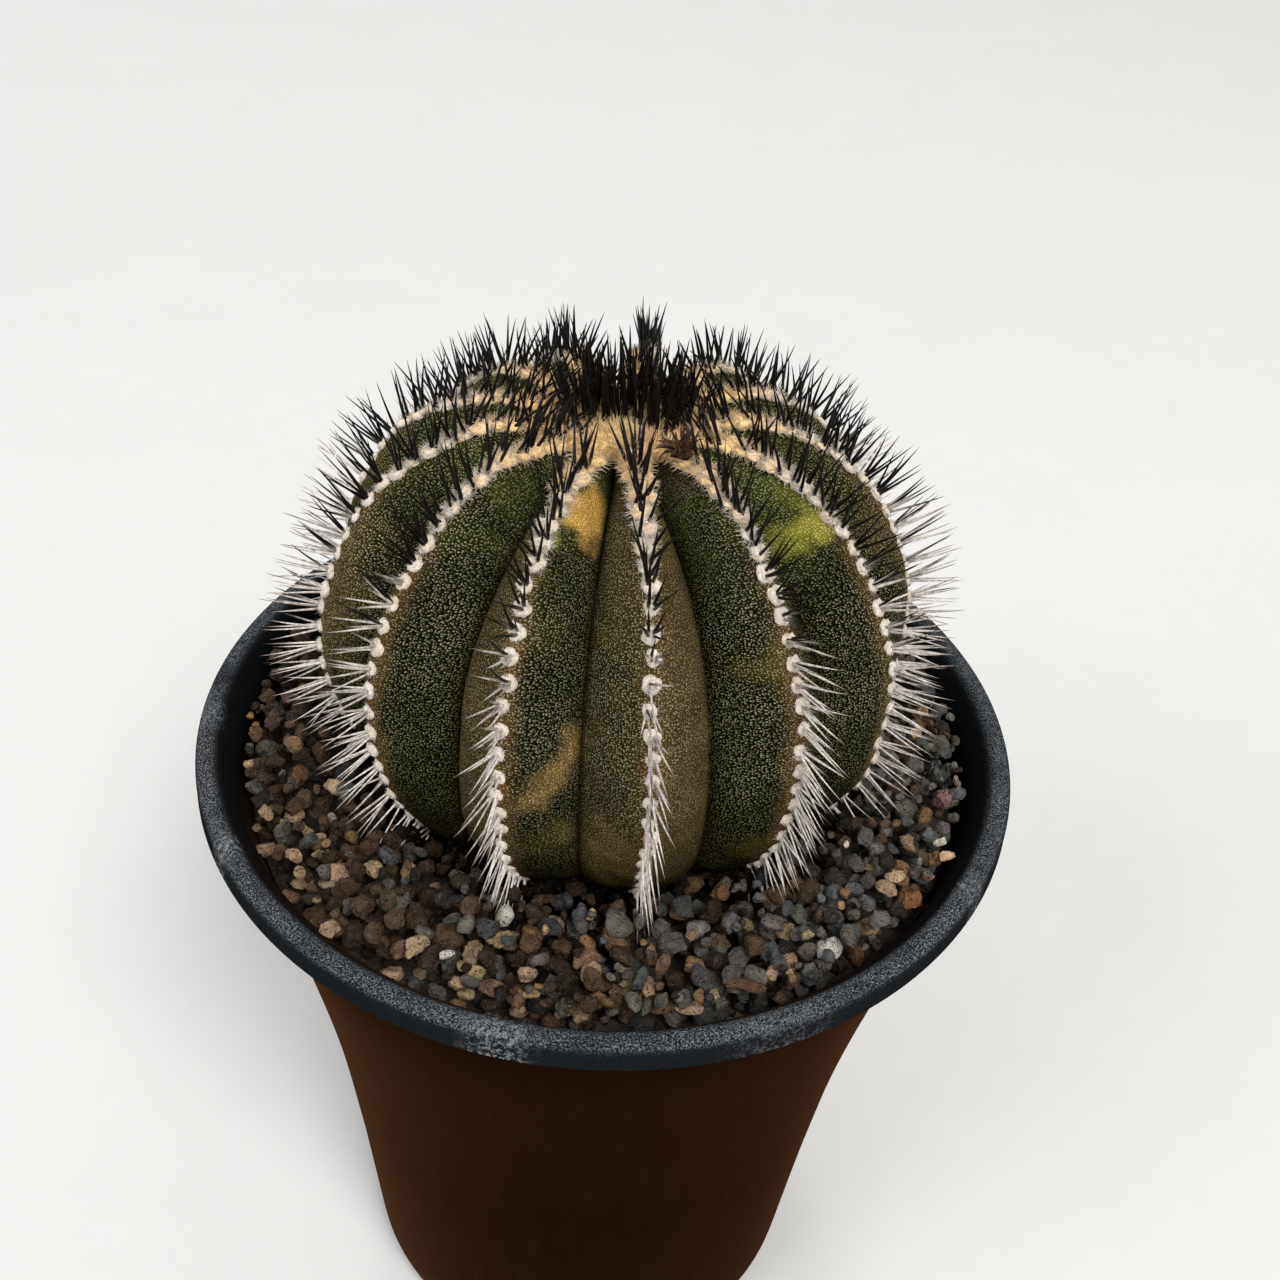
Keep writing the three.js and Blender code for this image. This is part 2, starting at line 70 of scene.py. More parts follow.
MM = 0.001
SEED = 20
BODY = "root"
Array = np.ndarray
Pair = tuple[float, float]
Triple = tuple[float, float, float]
Colour = Triple
Material = bpy.types.Material
Node = bpy.types.Node
Socket = bpy.types.NodeSocket
Tree = bpy.types.NodeTree
Rng = np.random.Generator


class Slot(Enum):
    """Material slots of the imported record."""

    POT = "pot_plastic"
    GRIT = "grit"
    SKIN = "cactus_skin"
    WOOL = "areole_wool"
    GOLD = "golden_wool"
    SPINE = "black_spines"
    FLOWER = "dried_flower"


class Tone(Enum):
    """Colours of single stones, as linear RGB."""

    GREY = (0.115, 0.106, 0.095)
    SLATE = (0.080, 0.082, 0.083)
    UMBER = (0.050, 0.035, 0.026)
    BROWN = (0.100, 0.064, 0.042)
    TAN = (0.360, 0.255, 0.155)
    OCHRE = (0.215, 0.130, 0.068)
    PALE = (0.540, 0.510, 0.450)
    PINK = (0.190, 0.110, 0.100)
    ORANGE = (0.330, 0.170, 0.072)
    BLACK = (0.030, 0.026, 0.023)


# Stones that stand out in the photograph: x, y, width, depth in the view and tone
NOTED_STONES: tuple[tuple[float, float, float, float, str], ...] = (
    (-43.5, -35.4, 5.4, 3.9, "tan"),
    (-37.5, -35.9, 3.4, 3.2, "tan"),
    (-44.9, -38.7, 3.0, 1.8, "tan"),
    (-45.8, -43.8, 5.6, 6.3, "brown"),
    (-42.6, -48.9, 3.2, 4.8, "tan"),
    (-38.9, -43.9, 5.6, 3.5, "grey"),
    (-32.6, -42.8, 6.3, 4.1, "grey"),
    (-49.1, -37.4, 3.7, 2.5, "tan"),
    (-50.6, -40.0, 3.3, 2.8, "brown"),
    (-49.3, -43.6, 2.0, 1.7, "pale"),
    (-57.6, -28.4, 4.1, 2.6, "tan"),
    (-53.2, -24.4, 3.5, 2.9, "tan"),
    (-60.5, -23.5, 1.7, 1.5, "tan"),
    (-54.5, -26.7, 1.7, 1.3, "tan"),
    (-47.8, -30.2, 2.1, 1.4, "tan"),
    (-47.6, -33.0, 2.4, 1.4, "tan"),
    (-34.6, -47.7, 4.2, 2.4, "umber"),
    (-31.5, -49.1, 3.6, 3.7, "brown"),
    (-23.3, -50.0, 5.2, 4.4, "brown"),
    (-27.6, -55.1, 3.8, 4.3, "tan"),
    (-29.4, -51.6, 1.4, 1.7, "tan"),
    (-19.0, -53.5, 3.2, 4.3, "tan"),
    (-18.0, -57.8, 3.5, 3.3, "tan"),
    (-19.4, -60.8, 2.8, 2.0, "tan"),
    (-22.5, -54.8, 2.2, 1.7, "slate"),
    (-22.8, -56.6, 2.5, 1.7, "pale"),
    (-16.6, -54.4, 2.9, 3.0, "umber"),
    (-15.3, -60.7, 4.4, 2.9, "tan"),
    (-20.9, -45.8, 2.6, 3.8, "grey"),
    (-22.7, -41.9, 3.3, 2.4, "slate"),
    (-37.8, -51.2, 4.2, 4.4, "umber"),
    (-32.3, -52.2, 3.9, 3.0, "umber"),
    (-15.1, -49.2, 5.2, 3.0, "tan"),
    (-7.2, -44.8, 4.3, 3.4, "tan"),
    (-10.9, -49.5, 2.6, 2.0, "slate"),
    (-1.4, -52.7, 4.2, 3.7, "ochre"),
    (0.5, -50.5, 3.3, 2.0, "grey"),
    (3.6, -46.4, 5.0, 5.1, "grey"),
    (-0.3, -57.8, 3.2, 4.0, "tan"),
    (5.1, -53.2, 3.2, 4.3, "tan"),
    (-3.7, -62.8, 4.4, 2.9, "tan"),
    (0.4, -63.1, 3.7, 2.9, "ochre"),
    (8.9, -57.9, 2.6, 4.3, "tan"),
    (10.4, -61.8, 5.7, 3.3, "brown"),
    (14.9, -62.1, 4.7, 2.1, "tan"),
    (16.2, -54.1, 3.3, 3.7, "ochre"),
    (22.7, -52.0, 3.9, 5.4, "grey"),
    (15.4, -49.9, 2.3, 2.0, "tan"),
    (18.0, -51.5, 2.0, 1.7, "tan"),
    (19.2, -58.8, 1.9, 2.6, "tan"),
    (21.6, -56.1, 3.6, 3.3, "grey"),
    (24.4, -59.4, 6.4, 2.6, "brown"),
    (16.2, -46.3, 4.0, 4.1, "grey"),
    (10.7, -46.7, 3.3, 3.7, "grey"),
    (24.7, -43.2, 3.4, 3.1, "tan"),
    (19.9, -48.1, 4.0, 3.1, "brown"),
    (15.8, -36.1, 3.5, 3.5, "ochre"),
    (13.7, -41.8, 4.4, 2.8, "ochre"),
    (-8.7, -40.0, 4.4, 1.7, "ochre"),
    (1.5, -40.5, 2.7, 2.4, "brown"),
    (-3.4, -45.6, 2.3, 4.4, "slate"),
    (-9.4, -63.0, 2.8, 1.6, "tan"),
    (-7.1, -61.5, 2.2, 2.0, "grey"),
    (37.9, -47.3, 4.4, 4.8, "pale"),
    (31.4, -43.8, 3.7, 3.4, "tan"),
    (28.1, -48.6, 3.3, 4.1, "slate"),
    (31.2, -50.0, 3.0, 3.4, "tan"),
    (28.1, -54.9, 2.3, 2.7, "tan"),
    (30.5, -57.0, 3.2, 3.0, "pale"),
    (38.7, -41.1, 5.5, 3.5, "grey"),
    (50.0, -32.9, 3.9, 2.5, "tan"),
    (43.6, -48.1, 3.4, 3.1, "grey"),
    (58.0, -31.2, 2.5, 3.3, "pink"),
    (55.9, -31.3, 2.5, 1.5, "orange"),
    (60.2, -25.6, 2.9, 2.2, "tan"),
    (46.2, -29.3, 1.8, 1.4, "tan"),
    (34.5, -39.6, 3.8, 3.1, "grey"),
    (7.5, -51.1, 2.3, 2.3, "umber"),
    (-5.3, -55.0, 4.2, 3.3, "umber"),
)


# ---------- numbers and shapes ----------


def outward(azimuth: Array) -> Array:
    """Level directions at azimuths counted from -Y towards +X."""
    azimuth = np.asarray(azimuth, float)
    return np.stack([np.sin(azimuth), -np.cos(azimuth), np.zeros_like(azimuth)], axis=-1)


def unit(vectors: Array) -> Array:
    """Vectors scaled to length one."""
    return vectors / np.maximum(np.linalg.norm(vectors, axis=-1, keepdims=True), 1e-12)


def smoothstep(low: float, high: float, x: Array) -> Array:
    """A soft step."""
    t = np.clip((np.asarray(x, float) - low) / (high - low), 0, 1)
    return t * t * (3 - 2 * t)


def smooth_through(stations: Sequence[Pair], x: Array) -> Array:
    """Values of a smooth curve through stations.

    Args:
        stations: (place, value) pairs in rising order of place.
        x: places.

    Returns:
        The curve's value at each place.
    """
    at, value = np.array(stations, float).T
    slope = np.gradient(value, at)
    i = np.clip(np.searchsorted(at, x) - 1, 0, len(at) - 2)
    h = at[i + 1] - at[i]
    t = np.clip((np.asarray(x, float) - at[i]) / h, 0, 1)
    return (
        value[i] * (1 + 2 * t) * (1 - t) ** 2
        + slope[i] * h * t * (1 - t) ** 2
        + value[i + 1] * t * t * (3 - 2 * t)
        + slope[i + 1] * h * t * t * (t - 1)
    )


class Ripple:
    """Smooth repeatable unevenness in space: sine waves in random directions."""

    def __init__(self, seed: int, wavelength: float, waves: int = 10) -> None:
        """Chooses the waves.

        Args:
            seed: start of the random numbers.
            wavelength: typical distance between two humps.
            waves: how many waves are added up.
        """
        rng = np.random.default_rng(seed)
        self.pull = unit(rng.normal(size=(waves, 3))) * (
            2 * math.pi / wavelength * rng.uniform(0.6, 1.6, (waves, 1))
        )
        self.phase = rng.uniform(0, 2 * math.pi, waves)

    def __call__(self, points: Array) -> Array:
        """Unevenness at points."""
        waves = np.sin(points @ self.pull.T + self.phase)
        return waves.sum(axis=-1) / math.sqrt(len(self.phase))


def turns_along(direction: Array, side: Array) -> Array:
    """Rotations that take +Z to a direction and +X close to a side."""
    x = unit(side - (side * direction).sum(-1, keepdims=True) * direction)
    return np.stack([x, np.cross(direction, x), direction], axis=-1)


def euler_of(matrices: Array) -> Array:
    """XYZ Euler angles of rotation matrices.

    Args:
        matrices: n matrices of 3 by 3.

    Returns:
        n rows of three angles.
    """
    return np.stack(
        [
            np.arctan2(matrices[:, 2, 1], matrices[:, 2, 2]),
            -np.arcsin(np.clip(matrices[:, 2, 0], -1, 1)),
            np.arctan2(matrices[:, 1, 0], matrices[:, 0, 0]),
        ],
        axis=-1,
    )


def random_turns(rng: Rng, count: int) -> Array:
    """Rotations evenly spread over all of them."""
    return turns_along(unit(rng.normal(size=(count, 3))), rng.normal(size=(count, 3)))


def grid_faces(rows: int, columns: int, closed: bool = True) -> Array:
    """Quads of a grid of points that is counted row by row.

    Args:
        rows: rows of points.
        columns: points in a row.
        closed: whether the last column joins the first.

    Returns:
        Rows of four point numbers.
    """
    r, c = np.meshgrid(
        np.arange(rows - 1), np.arange(columns if closed else columns - 1), indexing="ij"
    )
    n = (c + 1) % columns
    a, b = r * columns + c, r * columns + n
    return np.stack([a, a + columns, b + columns, b], axis=-1).reshape(-1, 4)


def show(made: bpy.types.Object) -> bpy.types.Object:
    """Links a new object to the scene."""
    bpy.context.scene.collection.objects.link(made)
    return made


def dice(number: int) -> Rng:
    """The random numbers of one piece of work."""
    return np.random.default_rng(SEED + number)


def make_object(name: str, points: Array, faces: Sequence, smooth: bool = True) -> bpy.types.Object:
    """A mesh object in the scene.

    Args:
        name: the piece's name.
        points: rows of x, y, z in millimetres.
        faces: point numbers of each face.
        smooth: whether faces are shaded smooth.

    Returns:
        The new object.
    """
    mesh = bpy.data.meshes.new(name)
    listed = faces.tolist() if isinstance(faces, np.ndarray) else [list(f) for f in faces]
    mesh.from_pydata((np.asarray(points) * MM).tolist(), [], listed)
    mesh.polygons.foreach_set("use_smooth", [smooth] * len(mesh.polygons))
    mesh.validate()
    mesh.update()
    return show(bpy.data.objects.new(name, mesh))


def put_attribute(mesh: bpy.types.Mesh, name: str, kind: str, values: Array) -> None:
    """Stores values on the points of a mesh.

    Args:
        mesh: the mesh.
        name: the attribute's name.
        kind: FLOAT, INT, FLOAT_VECTOR or FLOAT_COLOR.
        values: one row a point; colours as linear RGB.
    """
    layer = mesh.attributes.new(name, kind, "POINT")
    values = np.asarray(values)
    if kind == "FLOAT_COLOR":
        values = np.concatenate([values, np.ones((len(values), 1))], axis=1)
    key = {"FLOAT_VECTOR": "vector", "FLOAT_COLOR": "color"}.get(kind, "value")
    layer.data.foreach_set(key, values.astype(int if kind == "INT" else np.float32).ravel())


def finish_piece(
    piece: bpy.types.Object, replaces: Sequence[str] = (), look: str = ""
) -> bpy.types.Object:
    """Hands a finished piece to the frame and reports it.

    Args:
        piece: the piece, in place, at the origin.
        replaces: CAD nodes that it stands for.
        look: what the log line says of it.

    Returns:
        The piece.
    """
    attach(piece, BODY)
    if replaces:
        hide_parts(*replaces)
    LOG.info("%s: %d faces %s", piece.name, len(piece.data.polygons), look)
    return piece


# ---------- node trees ----------


class Layout:
    """A short way to fill a node tree."""

    def __init__(self, tree: Tree) -> None:
        """Starts on a tree."""
        self.tree = tree

    def add(self, kind: str, ins: dict | None = None, **settings: object) -> Node:
        """Adds a node.

        Args:
            kind: the node's type.
            ins: socket name or number to a value or to another node's output.
            settings: the node's own properties.

        Returns:
            The new node.
        """
        node = self.tree.nodes.new(kind)
        for name, value in settings.items():
            setattr(node, name, value)
        for name, value in (ins or {}).items():
            self.feed(node, name, value)
        return node

    def feed(self, node: Node, name: str | int, value: object) -> None:
        """Links or sets one input.

        Args:
            node: the node.
            name: the input's name or number.
            value: an output socket or a plain value.
        """
        socket = node.inputs[name]
        if isinstance(value, Socket):
            self.tree.links.new(value, socket)
        elif isinstance(value, tuple) and len(value) == 3 and socket.type == "RGBA":
            socket.default_value = (*value, 1.0)
        else:
            socket.default_value = value

    def math(self, operation: str, *values: object, clamp: bool = False) -> Socket:
        """A Math node's result.

        Args:
            operation: its operation.
            values: numbers or sockets.
            clamp: whether the result is kept from 0 to 1.

        Returns:
            The output socket.
        """
        node = self.add("ShaderNodeMath", dict(enumerate(values)), operation=operation)
        node.use_clamp = clamp
        return node.outputs[0]

    def linear(self, value: object, scale: object, shift: object, clamp: bool = False) -> Socket:
        """A value times a scale plus a shift."""
        return self.math("MULTIPLY_ADD", value, scale, shift, clamp=clamp)

    def times(self, first: object, second: object) -> Socket:
        """The product of two values."""
        return self.math("MULTIPLY", first, second)

    def stretched(self, vector: object, by: Triple) -> Socket:
        """A vector multiplied axis by axis."""
        return self.add("ShaderNodeVectorMath", {0: vector, 1: by}, operation="MULTIPLY").outputs[0]

    def scaled(self, vector: object, by: object) -> Socket:
        """A vector times a number."""
        return self.add("ShaderNodeVectorMath", {0: vector, "Scale": by}, operation="SCALE").outputs[0]

    def group(self, tree: Tree, ins: dict) -> Node:
        """A shared group with its inputs."""
        return self.add("ShaderNodeGroup", ins, node_tree=tree)

    def mix(self, factor: object, first: object, second: object, blend: str = "MIX") -> Socket:
        """Two colours mixed.

        Args:
            factor: share of the second.
            first: colour or socket.
            second: colour or socket.
            blend: blend type.

        Returns:
            The output socket.
        """
        ins = {0: factor, 6: first, 7: second}
        node = self.add("ShaderNodeMix", ins, data_type="RGBA", blend_type=blend)
        return node.outputs[2]

    def ramp(self, value: object, low: float, high: float) -> Socket:
        """A smooth step from 0 to 1."""
        ins = {"Value": value, "From Min": low, "From Max": high}
        return self.add("ShaderNodeMapRange", ins, interpolation_type="SMOOTHSTEP").outputs[0]

    def noise(self, where: object, size: float, detail: float = 2.0, rough: float = 0.5) -> Socket:
        """Noise in space."""
        ins = {"Vector": where, "Scale": 1 / (size * MM), "Detail": detail, "Roughness": rough}
        return self.add("ShaderNodeTexNoise", ins).outputs[0]

    def bump(
        self, height: object, depth: float, strength: float = 1.0, under: object = None
    ) -> Socket:
        """A bumped normal.

        Args:
            height: socket from 0 to 1.
            depth: millimetres between 0 and 1.
            strength: share of the bump.
            under: normal that this one is added to.

        Returns:
            The Normal socket.
        """
        ins = {"Height": height, "Distance": depth * MM, "Strength": strength}
        if under is not None:
            ins["Normal"] = under
        return self.add("ShaderNodeBump", ins).outputs[0]

    def attribute(self, name: str, output: str = "Fac") -> Socket:
        """A value or colour stored on the mesh."""
        return self.add("ShaderNodeAttribute", attribute_name=name).outputs[output]

    def place(self) -> Socket:
        """Object coordinates."""
        return self.add("ShaderNodeTexCoord").outputs["Object"]


class ShaderGroups:
    """Shared shader effects, each built once as a node group."""

    @staticmethod
    def start(name: str, ins: dict[str, tuple[str, object]], outs: dict[str, str]) -> tuple:
        """An empty group with named sockets.

        Args:
            name: the group's name.
            ins: input name to socket type and default.
            outs: output name to socket type.

        Returns:
            The layout, the group input node and the group output node.
        """
        tree = bpy.data.node_groups.new(name, "ShaderNodeTree")
        for key, (kind, value) in ins.items():
            socket = tree.interface.new_socket(key, in_out="INPUT", socket_type=kind)
            if value is not None:
                socket.default_value = value
        for key, kind in outs.items():
            tree.interface.new_socket(key, in_out="OUTPUT", socket_type=kind)
        layout = Layout(tree)
        return layout, layout.add("NodeGroupInput"), layout.add("NodeGroupOutput")

    @cached_property
    def pebbled(self) -> Tree:
        """Small raised grains with gaps between them.

        Returns:
            The group: Vector and Size in the same unit give Grain and Height.
        """
        ins = {"Vector": ("NodeSocketVector", None), "Size": ("NodeSocketFloat", 0.6)}
        outs = {"Grain": "NodeSocketFloat", "Height": "NodeSocketFloat"}
        lay, source, target = self.start("pebbled", ins, outs)
        scale = lay.math("DIVIDE", 1.0, source.outputs["Size"])
        stretch = lay.stretched(source.outputs["Vector"], (1.0, 1.3, 1.0))
        settings = {"Vector": stretch, "Scale": scale, "Randomness": 0.85}
        cells = lay.add("ShaderNodeTexVoronoi", settings, voronoi_dimensions="2D")
        dot = lay.ramp(cells.outputs["Distance"], 0.42, 0.13)
        cell = lay.add("ShaderNodeSeparateColor", {0: cells.outputs["Color"]})
        strong = lay.ramp(cell.outputs[0], 0.1, 0.9)
        grain = lay.times(dot, lay.linear(strong, 0.75, 0.25))
        lay.feed(target, "Grain", grain)
        lay.feed(target, "Height", lay.ramp(cells.outputs["Distance"], 0.62, 0.05))
        return lay.tree

    @cached_property
    def mottled(self) -> Tree:
        """A colour that wanders between darker and lighter at two scales.

        Returns:
            The group: Vector, Color, Size and Depth give Color and Mask.
        """
        ins = {
            "Vector": ("NodeSocketVector", None),
            "Color": ("NodeSocketColor", (0.5, 0.5, 0.5, 1)),
            "Size": ("NodeSocketFloat", 4.0),
            "Depth": ("NodeSocketFloat", 0.5),
        }
        outs = {"Color": "NodeSocketColor", "Mask": "NodeSocketFloat"}
        lay, source, target = self.start("mottled", ins, outs)
        scale = lay.math("DIVIDE", 1 / MM, source.outputs["Size"])
        where = source.outputs["Vector"]
        ins = {"Vector": where, "Scale": scale, "Detail": 3.0}
        broad = lay.add("ShaderNodeTexNoise", ins).outputs[0]
        ins = {"Vector": where, "Scale": lay.times(scale, 6.3), "Detail": 2.0}
        fine = lay.add("ShaderNodeTexNoise", ins).outputs[0]
        mask = lay.linear(fine, 0.4, lay.times(broad, 0.6))
        swing = lay.linear(lay.math("SUBTRACT", mask, 0.5), 4.0, 0.0)
        factor = lay.linear(swing, source.outputs["Depth"], 1.0)
        shade = lay.add("ShaderNodeCombineColor", {0: factor, 1: factor, 2: factor}).outputs[0]
        lay.feed(target, "Color", lay.mix(1.0, source.outputs["Color"], shade, "MULTIPLY"))
        lay.feed(target, "Mask", mask)
        return lay.tree

    @cached_property
    def fibrous(self) -> Tree:
        """Matted threads.

        Returns:
            The group: Vector and Size give Thread, high on a thread.
        """
        ins = {"Vector": ("NodeSocketVector", None), "Size": ("NodeSocketFloat", 0.25)}
        lay, source, target = self.start("fibrous", ins, {"Thread": "NodeSocketFloat"})
        scale = lay.math("DIVIDE", 1 / MM, source.outputs["Size"])
        total: object = 0.0
        for stretch in ((1.0, 0.25, 0.6), (0.3, 1.0, 0.5)):
            where = lay.stretched(source.outputs["Vector"], stretch)
            waves = {"Vector": where, "Scale": scale, "Detail": 2.0, "Distortion": 1.2}
            wave = lay.add("ShaderNodeTexNoise", waves).outputs[0]
            total = lay.linear(lay.ramp(wave, 0.42, 0.62), 0.5, total)
        lay.feed(target, "Thread", total)
        return lay.tree


GROUPS = ShaderGroups()


@dataclass(frozen=True)
class Finish:
    """What every material has in common."""

    name: str
    roughness: float = 0.6
    specular: float = 0.5

    def build(self) -> Material:
        """Makes the material.

        Returns:
            The material, with its pattern laid out.
        """
        material = bpy.data.materials.new(self.name)
        material.use_nodes = True
        material.node_tree.nodes.clear()
        lay = Layout(material.node_tree)
        shader = lay.add("ShaderNodeBsdfPrincipled")
        shader.inputs["Roughness"].default_value = self.roughness
        shader.inputs["Specular IOR Level"].default_value = self.specular
        lay.add("ShaderNodeOutputMaterial", {"Surface": shader.outputs[0]})
        self.pattern(lay, shader)
        return material

    def pattern(self, lay: Layout, shader: Node) -> None:
        """Lays out the pattern. Each finish has its own."""
        raise NotImplementedError


@dataclass(frozen=True)
class PotFinish(Finish):
    """Nursery-pot plastic: a grained dull rim with painted glints and chalky scuffs over a smooth
    brownish wall with a painted warm reflection at its edges.
    """

    name: str = "pot_plastic"
    roughness: float = 0.42
    specular: float = 0.0
    wall: Colour = (0.0066, 0.0024, 0.0011)
    inner_wall: Colour = (0.0038, 0.0044, 0.0050)
    rim: Colour = (0.0075, 0.0105, 0.0130)
    # painted glints: pale specks of the grain where the rim's top catches the light
    glint: Colour = (0.200, 0.220, 0.242)
    chalk: Colour = (0.300, 0.315, 0.330)
    soil_dust: Colour = (0.034, 0.018, 0.010)
    # share of the grain's glint where the rim faces away from the light
    unlit: float = 0.03
    # strength of the brown sheen, a painted warm reflection at the wall's edges
    sheen: float = 0.075

    def pattern(self, lay: Layout, shader: Node) -> None:
        """Painted glints in the rim's grain where light falls on it, scuffs on the rim, faint streaks
        and dust on the wall.

        Args:
            lay: the material's layout.
            shader: its Principled BSDF.
        """
        where = lay.place()
        rim = lay.attribute("rim")
        grain = lay.noise(where, 0.27, 2.0, 0.6)
        lit = lay.times(lay.attribute("lit"), lay.ramp(lay.noise(where, 7.0), 0.05, 0.55))
        # painted glints: pale specks on the lit part of the rim
        painted_glint = lay.times(lay.ramp(grain, 0.40, 0.72), lay.linear(lit, 1 - self.unlit, self.unlit))
        rim_colour = lay.mix(painted_glint, self.rim, self.glint)
        worn = lay.ramp(lay.noise(where, 0.8, 4.0, 0.75), 0.46, 0.64)
        patch = lay.times(lay.attribute("scuff"), worn)
        rim_colour = lay.mix(lay.times(patch, 0.8), rim_colour, self.chalk)
        streak_at = lay.stretched(where, (1.0, 1.0, 0.3))
        streak = lay.ramp(lay.noise(streak_at, 5.0, 3.0, 0.6), 0.40, 0.85)
        wall_colour = lay.mix(lay.times(streak, 0.10), self.wall, self.soil_dust)
        powder = lay.ramp(lay.noise(where, 1.4, 4.0, 0.65), 0.40, 0.72)
        dust = lay.times(lay.attribute("dust"), powder)
        wall_colour = lay.mix(dust, wall_colour, self.soil_dust)
        wall_colour = lay.mix(lay.attribute("inside"), wall_colour, self.inner_wall)
        lay.feed(shader, "Base Color", lay.mix(rim, wall_colour, rim_colour))
        uneven = lay.linear(lay.noise(where, 1.8, 3.0), 0.10, self.roughness - 0.05)
        dull = lay.linear(rim, 0.10, uneven)
        lay.feed(shader, "Roughness", lay.linear(dust, 0.4, dull))
        rough = lay.times(lay.ramp(grain, 0.30, 0.72), rim)
        normal = lay.bump(rough, 0.20)
        lay.feed(shader, "Normal", lay.bump(lay.noise(where, 6.0, 2.0), 0.05, 0.5, normal))
        # brown-tinted sheen: painted warm reflection at the edges
        shader.inputs["Sheen Weight"].default_value = self.sheen
        shader.inputs["Sheen Roughness"].default_value = 0.30
        shader.inputs["Sheen Tint"].default_value = (1.0, 0.46, 0.22, 1.0)


@dataclass(frozen=True)
class StoneFinish(Finish):
    """Porous grit: the tone of each stone, mottled, pitted with painted shade in the pits and a little
    dusty.
    """

    name: str = "grit_stone"
    roughness: float = 0.95
    specular: float = 0.015
    dust: Colour = (0.230, 0.190, 0.145)
    pit_shade: Colour = (0.012, 0.009, 0.006)

    def pattern(self, lay: Layout, shader: Node) -> None:
        """Mottling, pits darkened with painted shade, and dust over the stone's own tone.

        Args:
            lay: the material's layout.
            shader: its Principled BSDF.
        """
        where = lay.place()
        ins = {"Vector": where, "Color": lay.attribute("tone", "Color"), "Size": 1.5, "Depth": 0.62}
        stone = lay.group(GROUPS.mottled, ins)
        ins = {"Vector": where, "Scale": 1 / (0.5 * MM)}
        pits = lay.add("ShaderNodeTexVoronoi", ins).outputs["Distance"]
        pit = lay.times(lay.ramp(pits, 0.40, 0.12), lay.ramp(lay.noise(where, 1.1), 0.42, 0.60))
        # painted shade in the pits
        colour = lay.mix(lay.times(pit, 0.72), stone.outputs["Color"], self.pit_shade)
        crumb = lay.noise(where, 0.9, 4.0, 0.72)
        powder = lay.times(lay.ramp(crumb, 0.54, 0.72), 0.34)
        lay.feed(shader, "Base Color", lay.mix(powder, colour, self.dust))
        height = lay.math("SUBTRACT", crumb, lay.times(pit, 0.35))
        lay.feed(shader, "Normal", lay.bump(height, 1.7))


@dataclass(frozen=True)
class SkinFinish(Finish):
    """The cactus's skin: painted ground colour under rows of fine pale grains, partly its own pale
    flecks and partly painted glints.
    """

    name: str = "cactus_skin"
    roughness: float = 0.50
    specular: float = 0.004
    grain_size: float = 0.50
    swell: float = 1.9
    # pale of the grains: the skin's own flecks with painted glints on them
    pale: Colour = (0.245, 0.245, 0.150)

    def pattern(self, lay: Layout, shader: Node) -> None:
        """Grains (partly painted glints), their gaps and slow drifts of colour.

        Args:
            lay: the material's layout.
            shader: its Principled BSDF.
        """
        where = lay.place()
        skin = lay.attribute("skin", "Color")
        ins = {"Vector": where, "Color": skin, "Size": 2.8, "Depth": 0.42}
        ground = lay.group(GROUPS.mottled, ins)
        ins = {"Vector": where, "Scale": 1 / (1.4 * MM), "Detail": 1.0}
        wander = lay.add("ShaderNodeTexNoise", ins).outputs[1]
        shift = lay.scaled(wander, 0.7)
        ins = {0: lay.attribute("lie", "Vector"), 1: shift}
        spot = lay.add("ShaderNodeVectorMath", ins, operation="ADD").outputs[0]
        pebbles = lay.group(GROUPS.pebbled, {"Vector": spot, "Size": self.grain_size})
        swollen = lay.scaled(skin, self.swell)
        lit = lay.mix(1.0, swollen, self.pale, "ADD")
        low = ground.outputs["Color"]
        drift = lay.ramp(lay.noise(where, 6.0, 3.0), 0.25, 0.60)
        amount = lay.times(pebbles.outputs["Grain"], lay.linear(drift, 0.4, 0.6))
        amount = lay.times(amount, lay.attribute("grain"))
        lay.feed(shader, "Base Color", lay.mix(amount, low, lit))
        gloss = lay.linear(pebbles.outputs["Grain"], -0.15, self.roughness + 0.04)
        lay.feed(shader, "Roughness", gloss)
        normal = lay.bump(pebbles.outputs["Height"], 0.11, 1.0)
        lay.feed(shader, "Normal", lay.bump(lay.noise(where, 2.6, 2.0), 0.16, 0.5, normal))


@dataclass(frozen=True)
class WoolFinish(Finish):
    """Matted felt, white on the ribs and golden in the crown."""

    name: str = "areole_wool"
    roughness: float = 0.95
    specular: float = 0.05
    white: Colour = (0.880, 0.820, 0.740)
    grey: Colour = (0.500, 0.420, 0.335)
    gold: Colour = (1.000, 0.770, 0.395)
    amber: Colour = (0.960, 0.560, 0.190)

    def pattern(self, lay: Layout, shader: Node) -> None:
        """Threads, with the stored share of gold.

        Args:
            lay: the material's layout.
            shader: its Principled BSDF.
        """
        where = lay.place()
        felt = lay.group(GROUPS.fibrous, {"Vector": where, "Size": 0.26})
        thread = felt.outputs["Thread"]
        deep = lay.linear(thread, 0.55, lay.times(lay.attribute("tint"), 0.5), True)
        cool = lay.mix(deep, self.grey, self.white)
        warm = lay.mix(deep, self.amber, self.gold)
        drift = lay.linear(lay.noise(where, 1.6, 2.0), 0.7, -0.35)
        share = lay.math("ADD", lay.attribute("gold"), drift)
        lay.feed(shader, "Base Color", lay.mix(lay.ramp(share, 0.0, 1.0), cool, warm))
        lay.feed(shader, "Normal", lay.bump(thread, 0.22, 0.8))
        shader.inputs["Sheen Weight"].default_value = 0.25
        shader.inputs["Sheen Roughness"].default_value = 0.5


